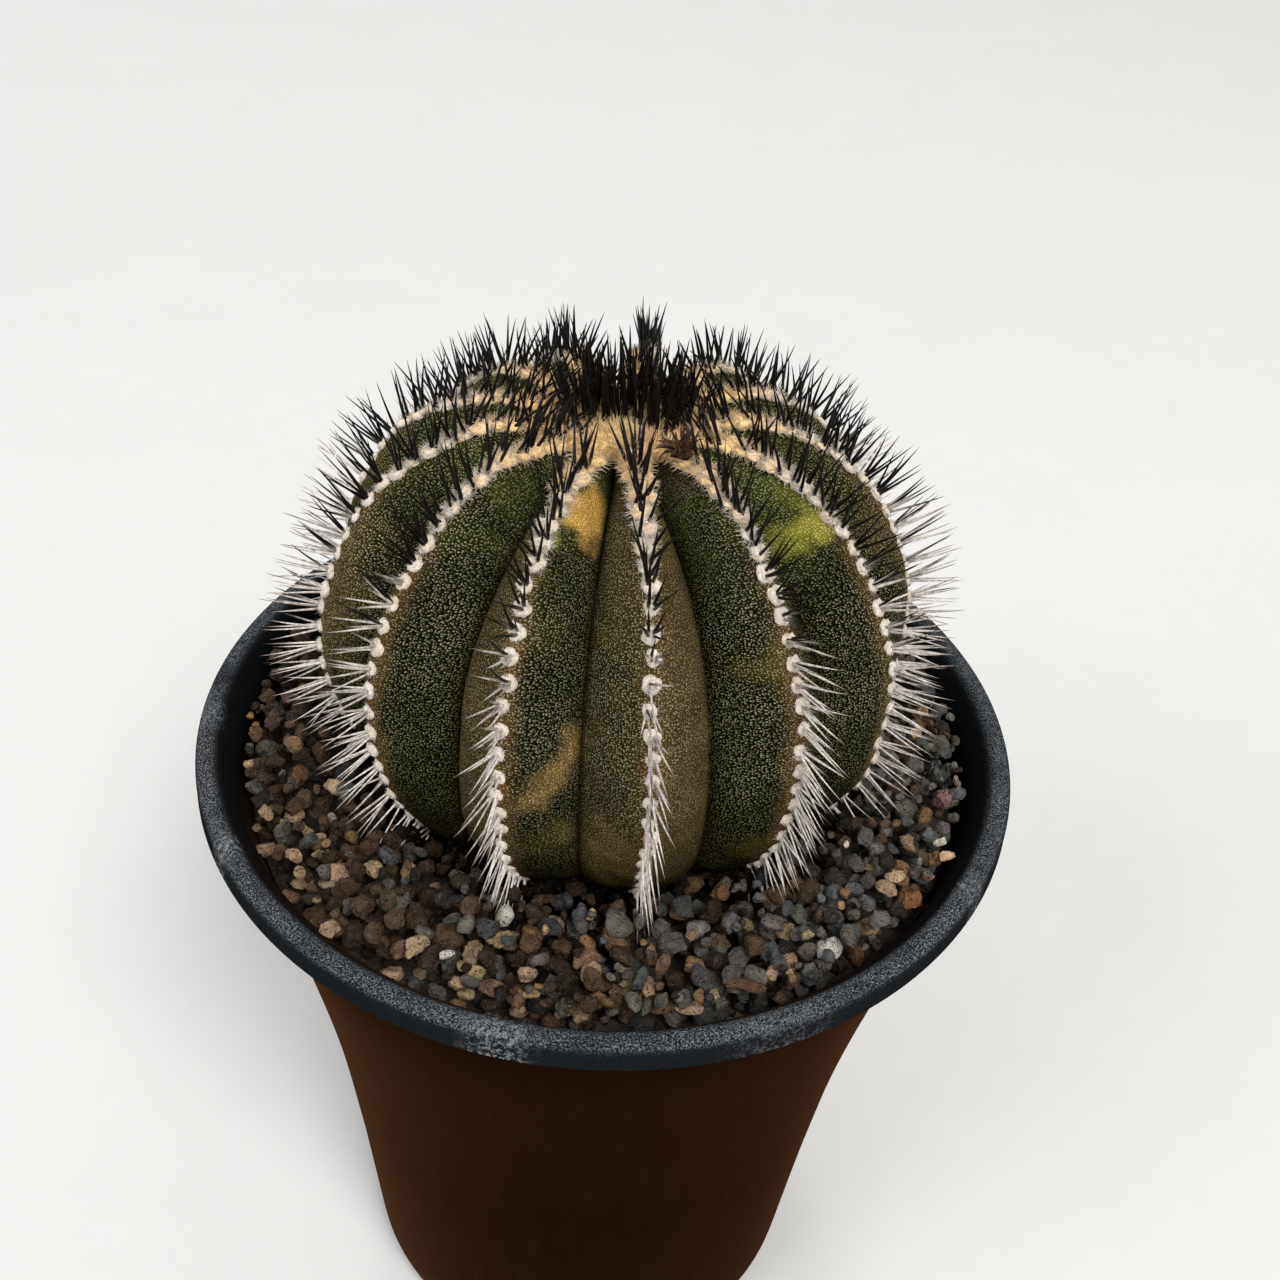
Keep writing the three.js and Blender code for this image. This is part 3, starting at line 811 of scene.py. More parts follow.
@dataclass(frozen=True)
class SpineFinish(Finish):
    """Horn: black when young, grey-white with a dark reddish tip when old."""

    name: str = "spine_horn"
    roughness: float = 0.36
    specular: float = 0.14
    pale: Colour = (0.790, 0.740, 0.690)
    grey: Colour = (0.230, 0.200, 0.185)
    tip: Colour = (0.120, 0.050, 0.038)
    black: Colour = (0.0020, 0.0016, 0.0015)
    ebony: Colour = (0.014, 0.011, 0.010)

    def pattern(self, lay: Layout, shader: Node) -> None:
        """Pale to dark along each spine by its stored share of ink.

        Args:
            lay: the material's layout.
            shader: its Principled BSDF.
        """
        where = lay.place()
        along, ink = lay.attribute("along"), lay.attribute("ink")
        streak_at = lay.stretched(where, (1.0, 1.0, 0.35))
        streak = lay.ramp(lay.noise(streak_at, 0.7, 3.0, 0.6), 0.34, 0.66)
        whole = lay.linear(lay.attribute("tint"), 0.45, lay.times(streak, 0.55), True)
        body = lay.mix(whole, self.grey, self.pale)
        reach = lay.ramp(along, 0.62, 1.0)
        body = lay.mix(lay.times(reach, 0.8), body, self.tip)
        dark = lay.ramp(lay.linear(along, 0.55, ink), 0.55, 0.98)
        ebony = lay.mix(lay.times(streak, 0.5), self.black, self.ebony)
        lay.feed(shader, "Base Color", lay.mix(dark, body, ebony))
        lay.feed(shader, "Roughness", lay.linear(streak, 0.16, self.roughness - 0.06))
        lay.feed(shader, "Normal", lay.bump(streak, 0.04, 0.6))


@dataclass(frozen=True)
class HuskFinish(Finish):
    """Dried petals."""

    name: str = "dried_husk"
    roughness: float = 0.82
    specular: float = 0.12
    dark: Colour = (0.016, 0.009, 0.006)
    light: Colour = (0.165, 0.090, 0.048)

    def pattern(self, lay: Layout, shader: Node) -> None:
        """Fibrous brown, lighter on some petals and threads.

        Args:
            lay: the material's layout.
            shader: its Principled BSDF.
        """
        where = lay.place()
        felt = lay.group(GROUPS.fibrous, {"Vector": where, "Size": 0.34})
        thread = felt.outputs["Thread"]
        share = lay.linear(lay.attribute("tint"), 0.5, lay.times(thread, 0.6), True)
        lay.feed(shader, "Base Color", lay.mix(share, self.dark, self.light))
        lay.feed(shader, "Normal", lay.bump(thread, 0.2))


@dataclass(frozen=True)
class PlainFinish(Finish):
    """A surface with a drift of tone, for the floor and the soil."""

    name: str = "plain"
    colour: Colour = (0.86, 0.855, 0.84)
    patch: float = 60.0
    depth: float = 0.02

    def pattern(self, lay: Layout, shader: Node) -> None:
        """A mottle with a bump of the same depth.

        Args:
            lay: the material's layout.
            shader: its Principled BSDF.
        """
        where = lay.place()
        ins = {"Vector": where, "Color": (*self.colour, 1.0), "Size": self.patch, "Depth": self.depth}
        drift = lay.group(GROUPS.mottled, ins)
        lay.feed(shader, "Base Color", drift.outputs["Color"])
        lay.feed(shader, "Normal", lay.bump(drift.outputs["Mask"], self.depth))


# ---------- repeats ----------


@dataclass
class Crop:
    """Where the repeats of one piece stand and how they differ.

    Attributes:
        places: rows of x, y, z in millimetres.
        turns: rotation matrices, one a repeat.
        sizes: size along each of the repeat's own axes, in millimetres.
        values: other numbers carried into the mesh, such as ink or gold.
        colours: colours carried into the mesh.
    """

    places: Array
    turns: Array
    sizes: Array
    kinds: Array
    values: dict[str, Array] = field(default_factory=dict)
    colours: dict[str, Array] = field(default_factory=dict)

    @staticmethod
    def joined(crops: "Sequence[Crop]") -> "Crop":
        """Several crops as one.

        Args:
            crops: crops that carry the same values and colours.

        Returns:
            All their repeats in order.
        """
        first = crops[0]
        return Crop(
            np.concatenate([c.places for c in crops]),
            np.concatenate([c.turns for c in crops]),
            np.concatenate([c.sizes for c in crops]),
            np.concatenate([c.kinds for c in crops]),
            {k: np.concatenate([c.values[k] for c in crops]) for k in first.values},
            {k: np.concatenate([c.colours[k] for c in crops]) for k in first.colours},
        )


class Kit:
    """A few unit shapes that repeats are copied from."""

    def __init__(self, name: str) -> None:
        """Starts an empty kit.
        """
        self.name = name
        self.collection = bpy.data.collections.new(name)
        bpy.context.scene.collection.children.link(self.collection)
        self.count = 0

    def take(
        self, points: Array, faces: Sequence, smooth: bool = True, along: Array | None = None
    ) -> None:
        """Adds a shape, sized in units, not millimetres.

        Args:
            points: rows of x, y, z.
            faces: point numbers of each face.
            smooth: whether faces are shaded smooth.
            along: share of the way along the shape for each point.
        """
        made = make_object(f"{self.name}_{self.count:02d}", np.asarray(points) / MM, faces, smooth)
        values = np.zeros(len(points)) if along is None else along
        put_attribute(made.data, "along", "FLOAT", values)
        bpy.context.scene.collection.objects.unlink(made)
        self.collection.objects.link(made)
        self.count += 1

    def clear(self) -> None:
        for made in list(self.collection.objects):
            bpy.data.objects.remove(made)
        bpy.data.collections.remove(self.collection)


class Grower:
    """Copies the shapes of a kit onto points with Geometry Nodes."""

    HELPERS = ("turn", "size", "kind")

    def __init__(self) -> None:
        """Lays out the node group."""
        self.tree = bpy.data.node_groups.new("grow_repeats", "GeometryNodeTree")
        sockets = (
            ("Geometry", "NodeSocketGeometry"),
            ("Kit", "NodeSocketCollection"),
            ("Material", "NodeSocketMaterial"),
            ("Seed", "NodeSocketInt"),
            ("Size Jitter", "NodeSocketFloat"),
        )
        self.identifier = {
            name: self.tree.interface.new_socket(name, in_out="INPUT", socket_type=kind).identifier
            for name, kind in sockets
        }
        self.tree.interface.new_socket("Geometry", in_out="OUTPUT", socket_type="NodeSocketGeometry")
        lay = Layout(self.tree)
        source = lay.add("NodeGroupInput").outputs
        kit = lay.add(
            "GeometryNodeCollectionInfo",
            {"Collection": source["Kit"], "Separate Children": True, "Reset Children": True},
        )
        turn = self.named(lay, "turn", "FLOAT_VECTOR")
        rotation = lay.add("FunctionNodeEulerToRotation", {"Euler": turn})
        low = lay.math("SUBTRACT", 1.0, source["Size Jitter"])
        high = lay.math("ADD", 1.0, source["Size Jitter"])
        jitter = lay.add("FunctionNodeRandomValue", data_type="FLOAT")
        for name, value in (("Min", low), ("Max", high), ("Seed", source["Seed"])):
            socket = next(s for s in jitter.inputs if s.name == name and s.enabled)
            self.tree.links.new(value, socket)
        amount = next(s for s in jitter.outputs if s.enabled)
        scale = lay.scaled(self.named(lay, "size", "FLOAT_VECTOR"), amount)
        copies = lay.add(
            "GeometryNodeInstanceOnPoints",
            {
                "Points": source["Geometry"],
                "Instance": kit.outputs[0],
                "Pick Instance": True,
                "Instance Index": self.named(lay, "kind", "INT"),
                "Rotation": rotation.outputs[0],
                "Scale": scale,
            },
        )
        real = lay.add("GeometryNodeRealizeInstances", {"Geometry": copies.outputs[0]})
        ins = {"Geometry": real.outputs[0], "Material": source["Material"]}
        dressed = lay.add("GeometryNodeSetMaterial", ins)
        lay.add("NodeGroupOutput", {"Geometry": dressed.outputs[0]})

    @staticmethod
    def named(lay: Layout, name: str, kind: str) -> Socket:
        """A stored attribute of the points."""
        node = lay.add("GeometryNodeInputNamedAttribute", {"Name": name}, data_type=kind)
        return next(s for s in node.outputs if s.enabled and s.name == "Attribute")

    def grow(
        self, name: str, crop: Crop, kit: Kit, material: Material, seed: int, jitter: float
    ) -> bpy.types.Object:
        """One piece of repeats.

        Args:
            name: the piece's name.
            crop: where the repeats stand.
            kit: the shapes they take.
            material: their material.
            seed: start of the size jitter.
            jitter: largest share by which a size changes.

        Returns:
            The finished piece.
        """
        piece = make_object(name, crop.places, [])
        mesh = piece.data
        put_attribute(mesh, "turn", "FLOAT_VECTOR", euler_of(crop.turns))
        put_attribute(mesh, "size", "FLOAT_VECTOR", crop.sizes * MM)
        put_attribute(mesh, "kind", "INT", crop.kinds)
        for key, values in crop.values.items():
            put_attribute(mesh, key, "FLOAT", values)
        for key, values in crop.colours.items():
            put_attribute(mesh, key, "FLOAT_COLOR", values)
        modifier = piece.modifiers.new("grow", "NODES")
        modifier.node_group = self.tree
        settings = {"Kit": kit.collection, "Material": material, "Seed": seed, "Size Jitter": jitter}
        for key, value in settings.items():
            modifier[self.identifier[key]] = value
        bpy.context.view_layer.update()
        shown = piece.evaluated_get(bpy.context.evaluated_depsgraph_get())
        grown = bpy.data.meshes.new_from_object(shown)
        piece.modifiers.clear()
        piece.data = grown
        grown.name = name
        bpy.data.meshes.remove(mesh)
        for helper in self.HELPERS:
            if helper in grown.attributes:
                grown.attributes.remove(grown.attributes[helper])
        return piece


def closed_faces(rows: int, columns: int, flipped: bool = False) -> list[list[int]]:
    """Faces of a closed grid with a fan to a point at either end.

    Args:
        rows: rows of points, before the two end points in the list.
        columns: points in a row.
        flipped: whether the faces look the other way.

    Returns:
        Point numbers of each face.
    """
    faces = [f[::-1] if flipped else f for f in grid_faces(rows, columns).tolist()]
    last, top = (rows - 1) * columns, rows * columns
    for i in range(columns):
        n = (i + 1) % columns
        a, b = (n, i) if flipped else (i, n)
        faces += [[a, b, top], [last + b, last + a, top + 1]]
    return faces


def slender(radius: Array, length: Array) -> Array:
    """Sizes of needles from their radii and lengths."""
    return np.stack([radius, radius, length], axis=-1)


def turn_each(turns: Array, vectors: Array) -> Array:
    """Each vector turned by its own matrix."""
    return np.einsum("nij,nj->ni", turns, vectors)


def icosphere(subdivisions: int) -> tuple[Array, list]:
    """A unit sphere of triangles.

    Args:
        subdivisions: 2 gives 80 triangles.

    Returns:
        Points and faces.
    """
    bm = bmesh.new()
    bmesh.ops.create_icosphere(bm, subdivisions=subdivisions, radius=1.0)
    points = np.array([v.co for v in bm.verts])
    faces = [[v.index for v in f.verts] for f in bm.faces]
    bm.free()
    return points, faces


def needle(bend: float, sides: int, stations: int, blunt: float) -> tuple[Array, list, Array]:
    """A spine or hair of radius 1 and length 1, sharp at its far end.

    Args:
        bend: sideways drift of the tip, in radii.
        sides: sides of its section.
        stations: rings of points before the tip.
        blunt: how late it thins out; 1 is a plain cone.

    Returns:
        Points, faces and the share along it.
    """
    height = np.linspace(0, 0.9, stations)
    angle = np.arange(sides) * 2 * math.pi / sides
    radius = (1 - height) ** blunt
    ring_x = radius[:, None] * np.cos(angle) + bend * height[:, None] ** 2
    ring_y = radius[:, None] * np.sin(angle)
    ring_z = np.repeat(height[:, None], sides, axis=1)
    points = np.stack([ring_x, ring_y, ring_z], axis=-1).reshape(-1, 3)
    points = np.concatenate([points, [[bend, 0, 1]]])
    faces = [f[::-1] for f in grid_faces(stations, sides).tolist()]
    top, tip = (stations - 1) * sides, len(points) - 1
    faces += [[top + i, top + (i + 1) % sides, tip] for i in range(sides)]
    faces.append(list(range(sides))[::-1])
    return points, faces, np.append(np.repeat(height, sides), 1.0)


# ---------- pot ----------


@dataclass(frozen=True)
class Pot:
    """The thin nursery pot with its rolled rim. Depths are measured down from the rim's top."""

    height: float = 154.0
    rim_radius: float = 75.0
    rim_width: float = 4.2
    rim_drop: float = 5.2
    rim_shoulder: float = 1.6
    wall_thickness: float = 1.3
    # outer wall: depth and radius
    stations: tuple = (
        (5.2, 69.6), (12, 68.0), (26, 65.2), (48, 61.0), (74, 57.0), (104, 54.0), (147, 50.8),
    )  # fmt: skip
    foot_round: float = 6.5
    foot_ring: float = 7.0
    foot_recess: float = 1.5
    floor: float = 2.0
    drain_radius: float = 4.5
    drain_circle: float = 26.0
    drain_count: int = 6
    drain_sides: int = 32
    segments: int = 224
    # the rim's lower edge: distance out from the rim's radius and depth under its drop
    edge: tuple = (
        (-4.9, 0.0), (-1.6, 0.0), (-0.5, 0.02), (-0.1, 0.22),
        (0.17, 0.42), (0.02, 0.62), (0.0, 1.0), (0.02, 2.2),
    )  # fmt: skip
    # scuffs on the rim: azimuth and half length in degrees, strength
    scuffs: tuple = (
        (-10.5, 5.0, 1.0), (-57.0, 3.0, 0.8), (-84.0, 3.5, 0.55),
        (57.5, 2.6, 0.8), (23.0, 9.0, 0.3), (148.0, 7.0, 0.5),
    )  # fmt: skip
    # painted light on the right of the rim, added to its painted glints: azimuths where it begins, is
    # full, thins and ends, strength
    rim_light_right: tuple = (25, 60, 120, 170, 0.25)

    def outer(self, depth: Array) -> Array:
        """Outer radius of the wall."""
        return smooth_through(self.stations, depth)

    def inner(self, z: Array) -> Array:
        """Inner radius of the wall."""
        return self.outer(self.height - np.asarray(z, float)) - self.wall_thickness

    def profile(self) -> Array:
        """The turned outline, from under the middle of the floor to its top.

        Returns:
            Rows of radius and height.
        """
        top, foot = self.height, float(self.outer(147.0)) - self.foot_round
        rim_middle = self.rim_radius - self.rim_width / 2
        points = [
            (foot - self.foot_ring - self.foot_recess, self.foot_recess),
            (foot - self.foot_ring, 0.0),
            (foot, 0.0),
        ]
        for angle in np.radians(np.arange(15, 90, 15)):
            across, up = math.sin(angle), 1 - math.cos(angle)
            points.append((foot + self.foot_round * across, self.foot_round * up))
        depths = np.concatenate([np.linspace(147, 12, 34), [9.0, 7.0, 5.8, 5.2]])
        points += [(float(self.outer(d)), top - d) for d in depths]
        points += [(self.rim_radius + out, top - self.rim_drop + down) for out, down in self.edge]
        for angle in np.radians(np.arange(0, 176, 12.5)):
            down = self.rim_shoulder * (1 - math.sin(angle))
            points.append((rim_middle + self.rim_width / 2 * math.cos(angle), top - down))
        points.append((rim_middle - self.rim_width / 2 - 0.3, top - 2.4))
        points.append((float(self.outer(6.5)) - 0.7, top - 4.2))
        depths = np.concatenate([[7.5, 9.0], np.linspace(12, 147, 26)])
        points += [(float(self.outer(d)) - self.wall_thickness, top - d) for d in depths]
        points.append((foot - 1, self.foot_recess + self.floor))
        return np.array(points)

    def turned(self) -> bpy.types.Object:
        """The pot without its drain holes.

        Returns:
            A closed object.
        """
        profile = self.profile()
        angle = np.arange(self.segments) * 2 * math.pi / self.segments
        rings = profile[:, 0, None, None] * outward(angle)[None]
        rings[:, :, 2] = profile[:, 1, None]
        ends = [[0, 0, self.foot_recess], [0, 0, self.foot_recess + self.floor]]
        points = np.concatenate([rings.reshape(-1, 3), ends])
        faces = closed_faces(len(profile), self.segments, flipped=True)
        return make_object("pot_shell", points, faces)

    def build(self, material: Material, cool: Material) -> bpy.types.Object:
        """The finished pot.

        Args:
            material: the plastic of its wall.
            cool: the same plastic with less of the warm edge glow, for rim and inside.

        Returns:
            The piece.
        """
        pot = self.turned()
        turns = np.arange(self.drain_count) * 2 * math.pi / self.drain_count
        ring = outward(turns) * self.drain_circle
        count = self.drain_sides
        angle = np.arange(count) * 2 * math.pi / count
        hole = np.stack([np.cos(angle), np.sin(angle), 0 * angle], axis=-1) * self.drain_radius
        faces = [f[::-1] for f in grid_faces(2, count).tolist()]
        faces += [list(range(count))[::-1], list(range(count, 2 * count))]
        tools = []
        for number, place in enumerate([np.zeros(3), *ring]):
            circle = hole + place
            points = np.concatenate([circle - [0, 0, 3.0], circle + [0, 0, 9.0]])
            tool = make_object(f"drain_{number}", points, faces)
            cut = pot.modifiers.new(tool.name, "BOOLEAN")
            cut.operation, cut.solver, cut.object = "DIFFERENCE", "EXACT", tool
            tools.append(tool)
        bpy.context.view_layer.update()
        shown = pot.evaluated_get(bpy.context.evaluated_depsgraph_get())
        mesh = bpy.data.meshes.new_from_object(shown)
        for extra in (*tools, pot):
            bpy.data.objects.remove(extra)
        mesh.name = "pot_body"
        mesh.materials.clear()
        mesh.materials.append(material)
        mesh.materials.append(cool)
        mesh.polygons.foreach_set("use_smooth", [True] * len(mesh.polygons))
        mesh.set_sharp_from_angle(angle=math.radians(38))
        piece = show(bpy.data.objects.new("pot_body", mesh))
        self.mark(mesh)
        return finish_piece(piece, ["pot"], "turned and drained")

    def mark(self, mesh: bpy.types.Mesh) -> None:
        """Stores where rim, scuffs and soil dust are, and the rim's share of painted glints.

        Args:
            mesh: the pot's mesh.
        """
        at = np.array([v.co for v in mesh.vertices]) / MM
        radius, depth = np.hypot(at[:, 0], at[:, 1]), self.height - at[:, 2]
        rim = smoothstep(self.rim_drop + 0.5, self.rim_drop - 0.1, depth)
        rim = rim * smoothstep(70.3, 71.0, radius)
        azimuth = np.degrees(np.arctan2(at[:, 0], -at[:, 1]))
        scuff = np.zeros(len(at))
        for middle, reach, strength in self.scuffs:
            apart = np.abs((azimuth - middle + 180) % 360 - 180)
            scuff = np.maximum(scuff, strength * smoothstep(reach, 0.2 * reach, apart))
        inside = smoothstep(0.9, 0.3, radius - self.inner(at[:, 2])) * (depth > 2.0)
        inside = np.maximum(inside, (depth < self.rim_drop - 0.4) * smoothstep(71.2, 70.6, radius))
        outside = smoothstep(90, 150, depth) * 0.35
        neutral = np.maximum(rim, inside) > 0.5
        indices = [int(neutral[list(face.vertices)].all()) for face in mesh.polygons]
        mesh.polygons.foreach_set("material_index", indices)
        # share of painted glints: high on the top of the rim, where light falls on it
        lit = smoothstep(self.rim_drop, self.rim_shoulder, depth) * smoothstep(70.9, 72.4, radius)
        # painted light: the rim's right side gets more of the painted glints
        begins, full, thins, ends, strength = self.rim_light_right
        lit_right = smoothstep(begins, full, azimuth)
        lit = np.minimum(lit + strength * rim * lit_right * smoothstep(ends, thins, azimuth), 1)
        lit = lit * smoothstep(self.rim_radius + 0.05, self.rim_radius - 0.6, radius)
        dust = np.maximum(inside * 0.1, outside * (1 - inside))
        marks = {"rim": rim, "lit": lit, "inside": inside, "scuff": scuff * rim, "dust": dust}
        for name, values in marks.items():
            put_attribute(mesh, name, "FLOAT", values)


# ---------- grit ----------


@dataclass(frozen=True)
class GritBed:
    """The fill of the pot, and the loose stones that lie on it."""

    level: float = 144.0
    bed_drop: float = 2.6
    columns: int = 132
    cell: float = 0.5
    stem_clear: float = 37.5
    kinds: int = 12
    # stones of each size: count, smallest and largest width, tries for the lowest place, and
    # whether the noted ones follow
    layers: tuple = (
        (760, 2.4, 4.2, 5, 0), (400, 3.4, 6.0, 8, 1), (480, 2.8, 4.9, 14, 0), (480, 1.4, 2.6, 14, 0),
    )  # fmt: skip
    # pieces of stones, the largest stones first: most stones in it and fineness of its shapes
    pieces: tuple = ((600, 3), (2400, 2))
    dip: float = 3.4
    # the stones' tops stand above the level the noted ones were read at, so those come nearer
    # by this much
    noted_shift: float = 3.4
    # and these are the y between which it grows to the full amount, away from the rim
    shift_band: Pair = (-64, -52)
    # painted shade under the plant's overhang: stones beside the plant are darkened; distances from it
    # where they are darkest and no longer dark, and the least share of their tone
    shade: Triple = (7.5, 12.5, 0.06)
    # painted light: stones at the right are brighter: x where it begins and is full, added share
    stone_light_right: Triple = (20, 50, 0.35)
    # the bed's gaps: to the wall at its top, to the wall further down and over the floor
    bed_gaps: Triple = (0.45, 1.05, 0.35)
    # radii of the rings of its underside
    bed_floor: Pair = (42.0, 12.0)
    # half the side of the square that stones are dropped on, and their gap to the wall
    half: float = 72.0
    wall_gap: float = 0.4
    # how far a stone keeps off the wall and the plant, as shares of its width
    clear: Pair = (0.45, 0.25)
    # middles of random and of noted stones over what they lie on, in half heights
    sink: Pair = (0.62, 0.5)
    # highest middle of a stone at the plant, over the level, and its rise by distance from it
    cap: Pair = (0.5, 0.6)

    def sunk(self, x: Array, y: Array, keep_off: Callable) -> Array:
        """How far the grit sinks towards the plant."""
        return self.dip * smoothstep(8.5, 0.5, keep_off(x, y))

    def bed(self, pot: Pot, keep_off: Callable, material: Material) -> bpy.types.Object:
        """The closed fill under the stones.

        Args:
            pot: the pot that holds it.
            keep_off: how far a place lies outside the plant.
            material: its soil.

        Returns:
            The piece.
        """
        top = self.level - self.bed_drop
        ripple = Ripple(SEED + 1, 7.0)
        angle = np.arange(self.columns) * 2 * math.pi / self.columns
        rings = []
        top_gap, side_gap, floor_gap = self.bed_gaps
        for radius in np.linspace(3, float(pot.inner(top)) - top_gap, 30):
            ring = outward(angle) * radius
            ring[:, 2] = top + 0.7 * ripple(ring) - self.sunk(ring[:, 0], ring[:, 1], keep_off)
            rings.append(ring)
        floor = pot.foot_recess + pot.floor + floor_gap
        side = [(float(pot.inner(z)) - side_gap, z) for z in np.linspace(top - 3, 9, 22)]
        for radius, z in [*side, *((radius, floor) for radius in self.bed_floor)]:
            rings.append(outward(angle) * radius + [0, 0, z])
        points = np.concatenate([*rings, [[0, 0, top], [0, 0, floor]]])
        piece = make_object("grit_bed", points, closed_faces(len(rings), self.columns))
        piece.data.materials.append(material)
        return finish_piece(piece, ["grit"], "fill")

    @staticmethod
    def stone_kit(fineness: int) -> Kit:
        """Angular and rounded stones: spheres cut by planes.

        Args:
            fineness: how often the sphere's faces are divided.
        """
        kit = Kit(f"stone_{fineness}")
        sphere, faces = icosphere(fineness)
        for number in range(GritBed.kinds):
            rng = dice(40 + number)
            planes = unit(rng.normal(size=(8 + number % 5, 3)))
            reach = rng.uniform(0.50, 1.0, len(planes))
            facing = np.maximum(sphere @ planes.T, 0.05)
            sharp = 20.0 + 9 * (number % 3)
            radius = ((facing / reach) ** sharp).sum(axis=1) ** (-1 / sharp)
            humps = 0.11 * Ripple(SEED + 60 + number, 1.0)(sphere)
            radius *= 1 + humps + 0.07 * Ripple(SEED + 75 + number, 0.42)(sphere)
            radius *= 1 + rng.normal(0, 0.035, len(sphere))
            points = sphere * np.minimum(radius, 1.2)[:, None]
            points /= np.ptp(points, axis=0) / 2
            kit.take(points, faces, smooth=number % 4 == 0)
        return kit

    def tone_shares(self, x: Array, y: Array) -> Array:
        """How likely each tone is, greyer to the right and with more tan in front.

        Args:
            x: places across.
            y: places in depth.

        Returns:
            One row of shares a place, in Tone's order.
        """
        right = smoothstep(-35, 45, x)
        front = smoothstep(-30, -55, y)
        shares = np.stack(
            [
                0.10 + 0.46 * right,
                0.03 + 0.16 * right,
                0.42 - 0.34 * right,
                0.27 - 0.17 * right,
                0.028 + 0.05 * front,
                0.045 + 0.02 * front,
                0.006 + 0 * x,
                0.002 + 0.004 * right,
                0.003 + 0 * x,
                0.08 - 0.03 * right,
            ],
            axis=-1,
        )
        return shares / shares.sum(axis=-1, keepdims=True)

    def stones(self, pot: Pot, keep_off: Callable, grower: Grower, material: Material) -> None:
        """The loose stones, dropped one by one into the lowest free place.

        Args:
            pot: the pot that holds them.
            keep_off: how far a place lies outside the plant.
            grower: makes the repeats.
            material: their finish.
        """
        rng = dice(2)
        half = self.half
        size = int(2 * half / self.cell)
        axis = (np.arange(size) + 0.5) * self.cell - half
        height = np.full((size, size), self.level - self.bed_drop)
        wall = float(pot.inner(self.level)) - self.wall_gap
        off_wall, off_plant = self.clear
        names = [tone.name.lower() for tone in Tone]
        colours = np.array([tone.value for tone in Tone])
        rows: list[tuple] = []

        def drop(x: float, y: float, sizes: Array, turn: Array, tone: int, sink: float) -> None:
            """Lays one stone on what is below it."""
            reach = np.abs(turn) @ sizes / 2
            at = np.array([x, y])
            lo = np.clip(((at - reach[:2] + half) / self.cell).astype(int), 0, size - 2)
            hi = np.clip(((at + reach[:2] + half) / self.cell).astype(int) + 1, 1, size)
            patch = height[lo[1] : hi[1], lo[0] : hi[0]]
            dx = (axis[lo[0] : hi[0]] - x) / reach[0]
            dy = (axis[lo[1] : hi[1]] - y) / reach[1]
            dome = 1 - dx[None, :] ** 2 - dy[:, None] ** 2
            under = dome > 0.25
            if not under.any():
                return
            rest = float(np.quantile(patch[under], 0.7))
            z = rest + reach[2] * sink
            top = z + reach[2] * np.sqrt(np.maximum(dome, 0)) * 0.9
            np.maximum(patch, np.where(dome > 0, top, -1e3), out=patch)
            rows.append((x, y, z, turn, sizes, tone))

        def pick(width: float, tries: int) -> Pair:
            """The lowest of several random places that a stone fits in."""
            best, found = 1e9, (0.0, 0.0)
            while tries > 0:
                radius = math.sqrt(rng.uniform(self.stem_clear**2, (wall - width * off_wall) ** 2))
                angle = rng.uniform(0, 2 * math.pi)
                x, y = radius * math.sin(angle), -radius * math.cos(angle)
                if keep_off(x, y) < width * off_plant:
                    continue
                tries -= 1
                i, j = int((y + half) / self.cell), int((x + half) / self.cell)
                k = max(1, int(width * 0.35 / self.cell))
                here = float(height[i - k : i + k + 1, j - k : j + k + 1].mean())
                if here < best:
                    best, found = here, (x, y)
            return found

        for count, low, high, tries, noted in self.layers:
            for _ in range(count):
                width = low + (high - low) * rng.beta(1.4, 2.2)
                sizes = width * np.array([1.0, rng.uniform(0.68, 0.98), rng.uniform(0.55, 0.85)])
                x, y = pick(width, tries)
                turn = random_turns(rng, 1)[0]
                share = self.tone_shares(np.array(x), np.array(y))
                drop(x, y, sizes, turn, int(rng.choice(len(names), p=share)), self.sink[0])
            for x, y, width, deep, name in NOTED_STONES[: len(NOTED_STONES) * noted]:
                tall = 0.75 * min(width, deep)
                nearer = y - self.noted_shift * float(smoothstep(*self.shift_band, y))
                y = nearer if keep_off(x, nearer) > width * off_plant else y
                side = outward(np.array([1.57 + rng.normal(0, 0.12)]))
                turn = turns_along(np.array([[0, 0, 1.0]]), side)[0]
                sizes = np.array([width, deep * 1.05, tall])
                drop(x, y, sizes, turn, names.index(name), self.sink[1])
        tones = colours[[row[5] for row in rows]]
        swing = rng.lognormal(0, 0.22, (len(rows), 1))
        tones = np.clip(tones * swing * (1 + rng.normal(0, 0.03, tones.shape)), 0.005, 0.8)
        kinds = rng.integers(0, self.kinds, len(rows))
        places = np.array([row[:3] for row in rows])
        away = keep_off(places[:, 0], places[:, 1])
        # painted shade on the stones beside the plant
        darkest, free, least = self.shade
        tones = tones * (least + (1 - least) * smoothstep(darkest, free, away))[:, None]
        # painted light on the stones at the right
        begins, full, added = self.stone_light_right
        tones = tones * (1 + added * smoothstep(begins, full, places[:, :1]))
        places[:, 2] -= self.sunk(places[:, 0], places[:, 1], keep_off)
        middle, rise = self.cap
        highest = self.level + middle + rise * np.maximum(away, 0)
        places[:, 2] = np.minimum(places[:, 2], highest)
        order = np.argsort([-row[4].max() for row in rows], kind="stable")
        start = 0
        for number, (count, fineness) in enumerate(self.pieces):
            part = order[start : start + count]
            start += count
            crop = Crop(
                places[part],
                np.array([rows[i][3] for i in part]),
                np.array([rows[i][4] for i in part]) / 2,
                kinds[part],
                {},
                {"tone": tones[part]},
            )
            kit = self.stone_kit(fineness)
            piece = grower.grow(f"grit_stones_{number + 1}", crop, kit, material, SEED + 3, 0.04)
            finish_piece(piece, ["grit"], "loose stones")
            kit.clear()
        z = places[:, 2]
        LOG.info("stones: %d, highest %.1f, last ones at %.1f", len(rows), z.max(), z[-500:].mean())


# ---------- plant ----------


